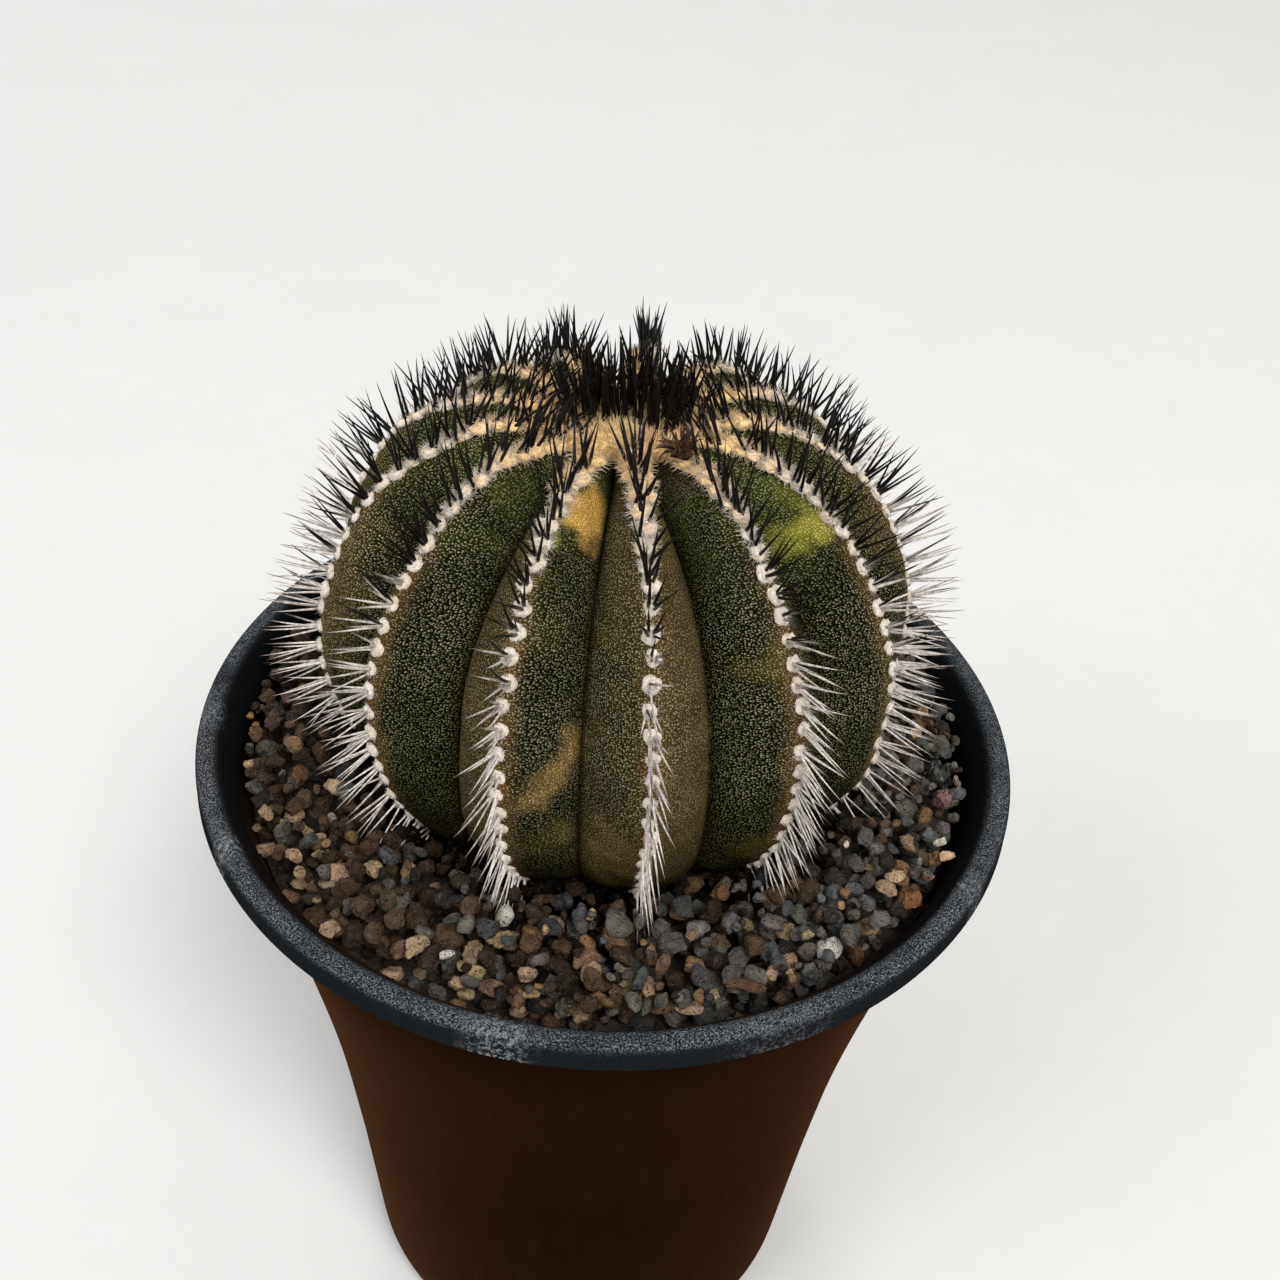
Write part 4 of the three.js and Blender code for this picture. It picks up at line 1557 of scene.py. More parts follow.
@dataclass(frozen=True)
class PlantFrame:
    """The plant's own frame: +Z along the stem, origin in the middle of the body."""

    offset: Pair = (0.9, 2.2)
    lean: Pair = (-0.052, -0.02)
    lift: float = 30.0
    level: float = 144.0

    def rotation(self) -> Array:
        """The lean as a matrix."""
        return np.array(Matrix.Rotation(self.lean[0], 3, "X") @ Matrix.Rotation(self.lean[1], 3, "Y"))

    def to_part(self, points: Array) -> Array:
        """Points of the plant in the part's frame."""
        turn = self.rotation()
        return points @ turn.T + turn @ [0, 0, self.lift] + [*self.offset, self.level]

    def place(self, crop: Crop) -> Crop:
        """A crop of the plant in the part's frame.

        Args:
            crop: repeats in the plant's frame.

        Returns:
            The same repeats, moved and turned.
        """
        crop.turns = self.rotation() @ crop.turns
        crop.places = self.to_part(crop.places)
        return crop


@dataclass(frozen=True)
class Blush:
    """A patch of another colour on the skin, in degrees of azimuth and polar angle."""

    azimuth: float
    polar: float
    wide: float
    high: float
    strength: float
    colour: Colour


AMBER = (0.410, 0.228, 0.048)
LIME = (0.200, 0.188, 0.023)
LEAF = (0.034, 0.047, 0.005)
MOSS = (0.048, 0.038, 0.005)
TAN_SKIN = (0.160, 0.100, 0.028)
DRAB = (0.058, 0.038, 0.013)
PLUM = (0.042, 0.024, 0.016)
RUST = (0.105, 0.048, 0.012)
DEEP = (0.0024, 0.0027, 0.0003)
GREEN = (0.0050, 0.0058, 0.0006)
LIGHT = (0.034, 0.041, 0.005)
SHADE = (0.0085, 0.0055, 0.0013)
# painted shade: near-black for the shaded dimple where furrows meet near the crown
DIMPLE_SHADE = (0.003, 0.003, 0.001)


@dataclass(frozen=True)
class RibbedBody:
    """The ribbed body. Stations are (polar angle from the crown, distance from the middle)."""

    rib_count: int = 13
    first: float = 7.9
    drift: tuple = (-0.5, -0.6, -1.4, -1.0, 0, 0, 0, 0, 0, -0.1, 0.6, 0.4, 1.4)
    crest: tuple = (
        (0, 37.4), (14, 38.8), (24, 43.1), (35, 46.8), (47, 49.4), (60, 51.0), (73, 51.8), (86, 52.2),
        (99, 52.2), (112, 51.8), (124, 50.2), (136, 46.4), (150, 37.5), (168, 40), (180, 60),
    )  # fmt: skip
    furrow: tuple = (
        (0, 37.4), (14, 36.8), (24, 36.2), (35, 37.2), (47, 39.6), (60, 41.6), (73, 43.0), (86, 44.2),
        (99, 46.0), (112, 47.6), (124, 48.2), (136, 45.0), (150, 37.2), (168, 40), (180, 60),
    )  # fmt: skip
    sharpness: float = 0.45
    crest_round: float = 0.05
    pinch: float = 0.6
    flank_columns: int = 13
    # distance between two ribs in the flat places of the grains, longer than a rib
    rib_apart: float = 211.0
    blushes: tuple = (
        Blush(-9.5, 34.5, 7.5, 7.5, 1.0, AMBER),
        Blush(-15.5, 36.5, 7.0, 5.4, 1.0, AMBER),
        Blush(-17.0, 43.5, 2.6, 2.2, 0.7, LIME),
        Blush(-17.0, 51.0, 2.4, 3.0, 0.5, MOSS),
        Blush(57.0, 49.0, 8.5, 4.4, 1.0, LIME),
        Blush(59.0, 41.0, 5.0, 4.0, 0.35, LIME),
        Blush(55.0, 40.0, 7.0, 9.0, 0.6, LEAF),
        Blush(51.0, 52.0, 5.0, 7.0, 0.3, LEAF),
        Blush(-7.0, 84.0, 2.8, 5.0, 1.0, TAN_SKIN),
        Blush(-10.0, 89.0, 3.4, 4.0, 0.9, TAN_SKIN),
        Blush(-13.2, 92.5, 3.4, 3.6, 0.7, TAN_SKIN),
        Blush(33.0, 68.0, 3.6, 5.5, 0.85, MOSS),
        Blush(29.5, 68.5, 6.0, 2.2, 0.45, MOSS),
        Blush(33.6, 88.0, 1.8, 5.0, 0.7, RUST),
        Blush(30.0, 110.0, 5.0, 4.0, 0.60, MOSS),
        Blush(0.5, 59.7, 5.0, 3.0, 0.55, MOSS),
        Blush(-12.5, 60.0, 4.0, 5.0, 0.30, MOSS),
        Blush(-10.0, 103.5, 6.0, 4.5, 0.70, MOSS),
        Blush(1.0, 108.0, 7.0, 12.0, 0.35, TAN_SKIN),
        Blush(1.5, 34.0, 5.5, 12.0, 0.80, PLUM),
        Blush(3.0, 48.0, 5.0, 12.0, 0.35, DRAB),
        Blush(29.0, 27.0, 7.0, 5.0, 0.75, PLUM),
        # painted shade in the dimple at the top of a furrow
        Blush(-10.0, 21.0, 3.2, 2.6, 1.0, DIMPLE_SHADE),
        Blush(80.9, 78.0, 4.0, 6.0, 0.70, AMBER),
        Blush(87.0, 60.0, 6.0, 12.0, 0.60, DRAB),
        Blush(-71.0, 76.0, 6.0, 18.0, 0.75, DRAB),
        Blush(150.0, 55.0, 9.0, 9.0, 0.70, MOSS),
        Blush(-140.0, 80.0, 6.0, 12.0, 0.60, MOSS),
        Blush(110.0, 95.0, 8.0, 9.0, 0.60, TAN_SKIN),
        Blush(-101.0, 60.0, 7.0, 10.0, 0.45, MOSS),
    )
    # olive-brown flanks: rib, side, strength
    drab_flanks: tuple = (
        (0, 1, 0.95), (12, -1, 0.75), (0, -1, 0.30), (11, -1, 0.35),
        (2, 1, 0.4), (5, 1, 0.7), (7, -1, 0.6), (9, -1, 0.5),
    )  # fmt: skip
    # the rib that the amber patch keeps to
    amber_rib: int = 12

    def crest_azimuth(self) -> Array:
        """Azimuths of the crests."""
        even = self.first + np.arange(self.rib_count) * 360 / self.rib_count
        return np.radians(even + np.array(self.drift))

    def azimuth(self, rib: Array, offset: Array) -> Array:
        """Azimuth of a place on a rib.

        Args:
            rib: numbers of ribs.
            offset: -1 in the left furrow, 0 on the crest, 1 in the right furrow.

        Returns:
            Angles in radians.
        """
        crest = self.crest_azimuth()
        step = (np.roll(crest, -1) - crest) % (2 * math.pi)
        half = np.where(offset < 0, step[rib - 1], step[rib % self.rib_count]) / 2
        return crest[rib % self.rib_count] + offset * half

    def locate(self, azimuth: Array) -> tuple[Array, Array]:
        """The rib and the place on it that face an azimuth.

        Args:
            azimuth: angles in radians.

        Returns:
            Rib numbers and offsets.
        """
        crest = self.crest_azimuth()
        apart = (azimuth[:, None] - crest[None] + math.pi) % (2 * math.pi) - math.pi
        rib = np.abs(apart).argmin(axis=1)
        apart = apart[np.arange(len(rib)), rib]
        step = (np.roll(crest, -1) - crest) % (2 * math.pi)
        half = np.where(apart < 0, step[rib - 1], step[rib]) / 2
        return rib, np.clip(apart / half, -1, 1)

    def surface(self, polar: Array, rib: Array, offset: Array) -> Array:
        """Points of the skin.

        Args:
            polar: polar angles in degrees.
            rib: numbers of ribs.
            offset: places on the ribs, from -1 to 1.

        Returns:
            Rows in the plant's frame.
        """
        polar, rib, offset = np.broadcast_arrays(polar, rib, offset)
        crest, furrow = smooth_through(self.crest, polar), smooth_through(self.furrow, polar)
        away, r = np.abs(offset), self.crest_round
        ridge = 1 - (np.sqrt(away**2 + r * r) - r) / (math.sqrt(1 + r * r) - r)
        rise = self.sharpness * ridge + (1 - self.sharpness) * (1 - away**2)
        depth = np.maximum(crest - furrow, 0)
        distance = furrow + (crest - furrow) * rise
        distance = distance - self.pinch * np.exp((away - 1) / 0.07) * np.minimum(depth / 6, 1)
        angle = np.radians(polar)
        way = outward(self.azimuth(rib, offset)) * np.sin(angle)[..., None]
        way[..., 2] = np.cos(angle)
        smooth = way * distance[..., None]
        uneven = 0.34 * Ripple(SEED + 5, 24.0)(smooth) + 0.10 * Ripple(SEED + 6, 7.5)(smooth)
        uneven = uneven + 0.16 * Ripple(SEED + 7, 5.0)(smooth) * smoothstep(96, 126, polar)
        uneven = uneven * smoothstep(3, 16, polar) * smoothstep(150, 138, polar)
        return smooth + way * uneven[..., None]

    def paint(
        self, polar: Array, azimuth: Array, rib: Array, offset: Array, points: Array
    ) -> tuple[Array, Array]:
        """The skin's ground colour and how strong its grains are.

        Args:
            polar: polar angles in degrees.
            azimuth: azimuths in radians.
            rib: numbers of ribs.
            offset: places on the ribs.
            points: rows in the plant's frame.

        Returns:
            Colours and grain strengths, one a point.
        """
        waves = (22.0, 8.0, 3.0)
        slow, mid, fine = (Ripple(SEED + 8 + n, wave)(points) for n, wave in enumerate(waves))
        wander = 0.5 * slow + 0.35 * mid + 0.2 * fine

        def lay(colour: Array, over: Colour, share: Array) -> Array:
            """Mixes a colour over another."""
            share = np.clip(share, 0, 1)[:, None]
            return colour * (1 - share) + np.array(over) * share

        colour = lay(np.tile(DEEP, (len(points), 1)), GREEN, 0.45 + 0.35 * wander)
        colour = lay(colour, LIGHT, smoothstep(62, 26, polar) * (0.5 + 0.3 * mid))
        for number, side, strength in self.drab_flanks:
            on = (rib == number) & (offset * side > 0)
            edge = smoothstep(0.0, 0.14, np.abs(offset)) * smoothstep(22, 46, polar)
            colour = lay(colour, DRAB, on * strength * edge * (0.82 + 0.22 * mid))
        for patch in self.blushes:
            across = (np.degrees(azimuth) - patch.azimuth + 180) % 360 - 180
            amber = patch.colour == AMBER
            reach = np.hypot(across / patch.wide, (polar - patch.polar) / patch.high)
            reach = reach + (0.10 if amber else 0.24) * mid + 0.13 * fine
            same = (rib == self.amber_rib) * (offset > -0.1) * 1.0 if amber else np.ones(len(points))
            crisp = patch.colour in (AMBER, LIME, DIMPLE_SHADE)
            edge = smoothstep(1.15, 0.45, reach) if crisp else smoothstep(1.35, 0.10, reach)
            colour = lay(colour, patch.colour, patch.strength * edge * same)
        away = np.abs(offset)
        drab = 0.7 * smoothstep(0.30, 0.08, away + 0.05 * mid)
        colour = lay(colour, DRAB, drab * smoothstep(35, 60, polar))
        rust = smoothstep(0.17, 0.04, away + 0.03 * fine) * (0.40 + 0.45 * mid)
        colour = lay(colour, RUST, np.clip(rust, 0, 0.7) * smoothstep(40, 70, polar))
        colour = lay(colour, SHADE, 0.8 * smoothstep(100, 132, polar + 5 * mid))
        colour = lay(colour, SHADE, 0.85 * smoothstep(0.88, 1.0, away))
        grain = (1 - 0.70 * smoothstep(88, 120, polar)) * (1 - 0.5 * smoothstep(0.86, 1.0, away))
        return colour, grain * np.clip(0.92 + 0.16 * slow, 0.6, 1.1)

    def lie(self, points: Array) -> Array:
        """Flat places on the skin: along the surface from the crest, and down the crest.

        Args:
            points: points by row, rib and column.

        Returns:
            Rows of x, y, 0 in millimetres, each rib a long way from the next.
        """
        ribs, columns = points.shape[1:3]
        crest = self.flank_columns
        steps = np.diff(points, axis=2, prepend=points[:, :, :1])
        across = np.linalg.norm(steps, axis=-1).cumsum(axis=2)
        across -= across[:, :, crest : crest + 1]
        steps = np.diff(points[:, :, crest], axis=0, prepend=points[:1, :, crest])
        down = np.linalg.norm(steps, axis=-1).cumsum(axis=0)
        down = down + self.rib_apart * np.arange(ribs)
        flat = np.stack([across, np.repeat(down[:, :, None], columns, axis=2), 0 * across], axis=-1)
        return flat.reshape(-1, 3)

    def outline(self, plant: PlantFrame, level: float) -> Callable[[Array, Array], Array]:
        """How the plant fills a level of the grit.

        Args:
            plant: where it stands.
            level: height over the foot.

        Returns:
            A function of x and y: how far a place lies outside the plant there.
        """
        bearings, angles = 720, 81
        polar, bearing = np.meshgrid(
            np.linspace(100, 140, angles), np.linspace(-math.pi, math.pi, bearings, endpoint=False)
        )
        rib, offset = self.locate(bearing.ravel())
        skin = plant.to_part(self.surface(polar.ravel(), rib, offset)).reshape(bearings, angles, 3)
        nearest = np.abs(skin[:, :, 2] - level).argmin(axis=1)
        ring = skin[np.arange(bearings), nearest, :2] - plant.offset
        around, reach = np.arctan2(ring[:, 0], -ring[:, 1]), np.hypot(ring[:, 0], ring[:, 1])
        order = np.argsort(around)

        def outside(x: Array, y: Array) -> Array:
            """Distance from the plant's outline, below 0 inside it."""
            x, y = x - plant.offset[0], y - plant.offset[1]
            here = np.interp(np.arctan2(x, -y), around[order], reach[order], period=2 * math.pi)
            return np.hypot(x, y) - here

        return outside

    def build(self, plant: PlantFrame, material: Material) -> bpy.types.Object:
        """The finished body.

        Args:
            plant: where it stands.
            material: its skin.

        Returns:
            The piece.
        """
        t = 0.5 - 0.5 * np.cos(np.linspace(0, math.pi, self.flank_columns + 1))
        offsets = np.concatenate([t - 1, t[1:-1]])
        rib = np.repeat(np.arange(self.rib_count), len(offsets))
        offset = np.tile(offsets, self.rib_count)
        polar = np.concatenate([np.linspace(2, 142, 186), [146, 150, 156, 162, 168, 174]])
        rows, columns = len(polar), len(offset)
        p, r, o = np.repeat(polar, columns), np.tile(rib, rows), np.tile(offset, rows)
        points = self.surface(p, r, o)
        colour, grain = self.paint(p, self.azimuth(r, o), r, o, points)
        poles = np.array([[0, 0, self.crest[0][1]], [0, 0, -self.crest[-1][1]]])
        ended = plant.to_part(np.concatenate([points, poles]))
        piece = make_object("cactus_skin", ended, closed_faces(rows, columns))
        put_attribute(piece.data, "skin", "FLOAT_COLOR", np.concatenate([colour, [GREEN, SHADE]]))
        put_attribute(piece.data, "grain", "FLOAT", np.append(grain, [0.5, 0.2]))
        lie = self.lie(points.reshape(rows, self.rib_count, -1, 3))
        put_attribute(piece.data, "lie", "FLOAT_VECTOR", np.concatenate([lie, np.zeros((2, 3))]))
        piece.data.materials.append(material)
        return finish_piece(piece, ["cactus_body"], "ribbed skin")


@dataclass(frozen=True)
class SpineRole:
    """One spine of an areole: tilt down the rib, tilt sideways, length share and ink."""

    fan: float
    splay: float
    length: float
    ink: float


class KitShapes:
    """The kits that the plant's repeats are copied from."""

    LUMPS = 4
    # sideways bends of the hairs and of the spines, in radii
    HAIR_BENDS = (3.0, 7.0, 12.0)
    SPINE_BENDS = (0.4, 1.4, 2.4, 3.4)
    HAIRS = len(HAIR_BENDS)
    SPINES = len(SPINE_BENDS)

    def __init__(self) -> None:
        """Makes felt lumps, hairs and spines."""
        self.felt = Kit("felt")
        sphere, faces = icosphere(2)
        for number in range(self.LUMPS):
            swell = 1 + 0.16 * Ripple(SEED + 80 + number, 1.3)(sphere)
            swell = swell + 0.07 * Ripple(SEED + 90 + number, 0.5)(sphere)
            self.felt.take(sphere * swell[:, None], faces)
        for bend in self.HAIR_BENDS:
            points, sides, along = needle(bend, sides=3, stations=3, blunt=0.4)
            self.felt.take(points, sides, along=along)
        self.spine = Kit("spine")
        for bend in self.SPINE_BENDS:
            points, sides, along = needle(bend, sides=6, stations=7, blunt=0.7)
            self.spine.take(points, sides, along=along)

    def clear(self) -> None:
        """Removes both kits."""
        self.felt.clear()
        self.spine.clear()


@dataclass(frozen=True)
class AreoleRows:
    """The rows of felt tufts with their spines, one row on each crest."""

    first: float = 16.0
    last: float = 125.0
    spacing: tuple = ((15, 2.3), (35, 2.85), (55, 3.6), (75, 3.8), (100, 3.9), (124, 3.2))
    across: tuple = (
        (15, 2.5), (25, 2.3), (36, 1.85), (45, 1.55), (60, 1.32), (85, 1.2), (105, 1.1), (124, 0.95),
    )  # fmt: skip
    along: tuple = ((15, 1.9), (35, 1.85), (50, 1.65), (60, 1.5), (85, 1.35), (124, 1.1))
    height: tuple = ((15, 1.0), (60, 0.95), (124, 0.8))
    # hairs of a tuft near the crown and further down
    hairs: tuple[int, int] = (170, 66)
    hair_length: tuple = ((15, 1.7), (35, 1.3), (50, 0.8), (60, 0.55), (124, 0.45))
    hair_radius: tuple = ((15, 0.056), (40, 0.050), (60, 0.036), (124, 0.034))
    spine_length: tuple = ((15, 8.4), (30, 9.0), (60, 9.8), (100, 9.6), (124, 8.4))
    spine_radius: tuple = ((15, 0.37), (40, 0.33), (70, 0.255), (100, 0.225), (124, 0.21))
    spread: tuple = ((15, 0.9), (35, 1.0), (55, 0.85), (75, 0.62), (90, 0.55), (105, 0.36), (124, 0.32))
    # share of each spine that is borne, for old and for young tufts, by its place in roles
    borne: tuple = ((0.96, 0.96), (0.62, 0.70), (0.96, 0.72), (0.96, 0.72), (0.96, 0.25), (0.96, 0.25))
    # tilt of all spines of an areole down the rib, in degrees
    lean: tuple = ((15, -8), (30, -12), (45, -14), (60, -9), (75, -4), (90, 6), (105, 11), (124, 14))
    # further tilt of the old spines of single ribs
    droop: tuple = ((0, 9.0), (1, 17.0), (12, 4.0))
    # polar angle above which a rib bears felt only
    bare: tuple = ((12, 23.5), (0, 19.0), (1, 22.0))
    # around the dried flower: azimuth, distance from the axis and reach
    flower_clear: Triple = (31.0, 16.0, 4.0)
    ground_gap: float = 1.7
    # share of gold in the wool that ends at each of two polar angles: share, full until, ends
    golden: tuple = ((0.80, 16, 46), (0.20, 40, 90))
    roles: tuple[SpineRole, ...] = (
        SpineRole(-15.0, -7.0, 1.00, 1.0),
        SpineRole(-13.0, 9.0, 0.90, 0.55),
        SpineRole(-2.0, -15.0, 0.97, 0.2),
        SpineRole(-2.0, 15.0, 0.97, 0.2),
        SpineRole(9.0, -7.0, 1.0, 0.0),
        SpineRole(11.0, 7.0, 1.0, 0.0),
    )

    # lumps of a tuft: shift sideways, down and out, and size, all as shares of the tuft's size
    lobes: tuple = (
        (-0.36, 0.04, 0.16, 0.62),
        (0.36, -0.04, 0.16, 0.62),
        (0.0, -0.32, 0.10, 0.62),
        (0.04, 0.30, 0.06, 0.62),
        (0.0, 0.0, -0.10, 0.88),
    )

    @staticmethod
    def read(stations: tuple, polar: Array) -> Array:
        """A value that changes down the rib."""
        at, value = np.array(stations, float).T
        return np.interp(polar, at, value)

    def stations(self, body: RibbedBody, rib: int, rng: Rng) -> tuple[Array, ...]:
        """Where the areoles of a rib are.

        Args:
            body: the ribbed body.
            rib: number of the rib.
            rng: source of random numbers.

        Returns:
            Polar angles, places, and the ways down the rib, sideways and out.
        """
        polar = np.linspace(self.first - 2, self.last + 2, 500)
        crest = body.surface(polar, np.full(500, rib), np.zeros(500))
        length = np.append(0, np.cumsum(np.linalg.norm(np.diff(crest, axis=0), axis=1)))
        at = [float(np.interp(self.first, polar, length)) + rng.uniform(0, 2.0)]
        stop = np.interp(self.last, polar, length)
        while at[-1] < stop:
            here = np.interp(at[-1], length, polar)
            at.append(at[-1] + float(self.read(self.spacing, here)) * rng.uniform(0.92, 1.08))

        def on_crest(angle: Array) -> Array:
            """Places on the crest at polar angles."""
            return np.stack([np.interp(angle, polar, crest[:, k]) for k in range(3)], axis=-1)

        here = np.interp(at[:-1], length, polar)
        place = on_crest(here)
        down = unit(on_crest(here + 2) - on_crest(here - 2))
        side = np.tile(outward(body.crest_azimuth()[rib] + math.pi / 2), (len(here), 1))
        out = unit(np.cross(down, side))
        place = place + side * rng.normal(0, 0.18, (len(here), 1))
        return here, place, down, side, out

    def gold(self, polar: Array) -> Array:
        """Share of golden wool."""
        first, second = (share * smoothstep(ends, full, polar) for share, full, ends in self.golden)
        return first + second

    def felt(self, where: tuple, rng: Rng) -> Crop:
        """Felt lumps and hairs.

        Args:
            where: what stations() gave.
            rng: source of random numbers.

        Returns:
            The repeats.
        """
        polar, place, _, side, out = where
        count = len(polar)
        turn = turns_along(out, side)
        parts = (self.across, self.along, self.height)
        size = np.stack([self.read(part, polar) for part in parts], axis=-1)
        size = size * rng.uniform(0.9, 1.1, (count, 1))
        crops = []
        for x, y, z, share in self.lobes:
            shift = np.array([x, y, z]) * size + rng.normal(0, 0.10, (count, 3))
            gold = self.gold(polar) * (1 + 0.5 * abs(x)) + rng.normal(0, 0.08, count)
            crops.append(
                Crop(
                    place + turn_each(turn, shift),
                    turn,
                    size * share * rng.uniform(0.88, 1.12, (count, 1)),
                    rng.integers(0, KitShapes.LUMPS, count),
                    {"tint": rng.uniform(0.3, 0.9, count), "gold": gold},
                )
            )
        each = np.repeat(np.arange(count), np.where(polar < 50, *self.hairs))
        spot = unit(rng.normal(size=(len(each), 3)))
        spot[:, 2] = np.abs(spot[:, 2]) - 0.25
        root = place[each] + turn_each(turn[each], spot * size[each] * 0.85 + [0, 0, 0.1])
        way = unit(spot / np.array([1.0, 1.0, 0.8]) + rng.normal(0, 0.6, spot.shape))
        way[:, 2] = np.maximum(way[:, 2], -0.15)
        way = unit(turn_each(turn[each], way))
        length = self.read(self.hair_length, polar[each]) * rng.uniform(0.6, 1.35, len(root))
        radius = self.read(self.hair_radius, polar[each]) * rng.uniform(0.8, 1.25, len(root))
        crops.append(
            Crop(
                root,
                turns_along(way, rng.normal(size=way.shape)),
                slender(radius, length),
                KitShapes.LUMPS + rng.integers(0, KitShapes.HAIRS, len(root)),
                {"tint": rng.uniform(0.45, 1.3, len(root)), "gold": self.gold(polar[each]) - 0.15},
            )
        )
        return Crop.joined(crops)

    def spines(self, where: tuple, rib: int, rng: Rng) -> Crop:
        """The spines of a row.

        Args:
            where: what stations() gave.
            rib: number of the rib.
            rng: source of random numbers.

        Returns:
            The repeats.
        """
        polar, place, down, side, out = where
        azimuth, distance, reach = self.flower_clear
        spot = outward(np.radians(azimuth))[:2] * distance
        bears = np.linalg.norm(place[:, :2] - spot, axis=1) > reach
        bears = bears & (polar > dict(self.bare).get(rib, 0.0))
        young = smoothstep(58, 40, polar)
        crops = []
        for role, (often, seldom) in zip(self.roles, self.borne):
            often = often - 0.32 * smoothstep(88, 108, polar)
            kept = (rng.uniform(size=len(polar)) < often + (seldom - often) * young) & bears
            p, o, d, s = polar[kept], out[kept], down[kept], side[kept]
            lean = self.read(self.lean, p) + dict(self.droop).get(rib, 0.0) * smoothstep(45, 70, p)
            fan = np.radians(role.fan + lean + rng.normal(0, 4.5 + 7.5 * young[kept]))[:, None]
            splay = role.splay + rng.normal(0, 4.5 + 2 * young[kept])
            splay = np.radians(splay * self.read(self.spread, p))[:, None]
            way = o * np.cos(fan) * np.cos(splay) + d * np.sin(fan)
            way = unit(way + s * np.sin(splay) * np.cos(fan))
            root = place[kept] + s * math.copysign(0.35, role.splay)
            root = root + d * 0.25 * np.sign(role.fan) + o * 0.2
            beside = 0.6 * s * rng.normal(size=(len(p), 1))
            root = root + young[kept][:, None] * (beside + 0.9 * d * rng.normal(size=(len(p), 1)))
            length = self.read(self.spine_length, p) * role.length * rng.uniform(0.86, 1.10, len(p))
            radius = self.read(self.spine_radius, p) * rng.uniform(0.85, 1.12, len(p))
            old = smoothstep(50, 72, p) if role.ink < 0.5 else smoothstep(56, 84, p)
            ink = (1 - old) * 1.2 + old * (0.25 * role.ink + rng.uniform(-0.05, 0.30, len(p)))
            crops.append(
                Crop(
                    root,
                    turns_along(way, -d + rng.normal(0, 0.4, d.shape)),
                    slender(radius, length),
                    rng.integers(0, KitShapes.SPINES, len(p)),
                    {"ink": ink, "tint": rng.uniform(0, 1, len(p))},
                )
            )
        return Crop.joined(crops)

    def lift_tips(self, crop: Crop, plant: PlantFrame) -> Crop:
        """Turns up spines whose tips would enter the grit.

        Args:
            crop: spines in the part's frame.
            plant: the plant's frame.

        Returns:
            The same spines.
        """
        way = crop.turns[:, :, 2]
        for _ in range(12):
            tip = crop.places + way * crop.sizes[:, 2:]
            low = tip[:, 2] < plant.level + self.ground_gap
            way = unit(way + np.outer(low, [0, 0, 0.09]))
        crop.turns = turns_along(way, crop.turns[:, :, 0])
        return crop

    def build(
        self, body: RibbedBody, plant: PlantFrame, kits: KitShapes, grower: Grower,
        wool: Material, horn: Material,
    ) -> None:  # fmt: skip
        """All rows.

        Args:
            body: the ribbed body.
            plant: where it stands.
            kits: shapes of the repeats.
            grower: makes the repeats.
            wool: material of the felt.
            horn: material of the spines.
        """
        for rib in range(body.rib_count):
            rng = dice(200 + rib)
            where = self.stations(body, rib, rng)
            node = f"areole_row_{rib + 1:02d}"
            felt = plant.place(self.felt(where, rng))
            name, seed = f"wool_row_{rib + 1:02d}", SEED + rib
            piece = grower.grow(name, felt, kits.felt, wool, seed, 0.08)
            finish_piece(piece, [node], "felt tufts")
            spines = self.lift_tips(plant.place(self.spines(where, rib, rng)), plant)
            name, seed = f"spine_row_{rib + 1:02d}", SEED + 30 + rib
            piece = grower.grow(name, spines, kits.spine, horn, seed, 0.03)
            finish_piece(piece, [node], "spines")


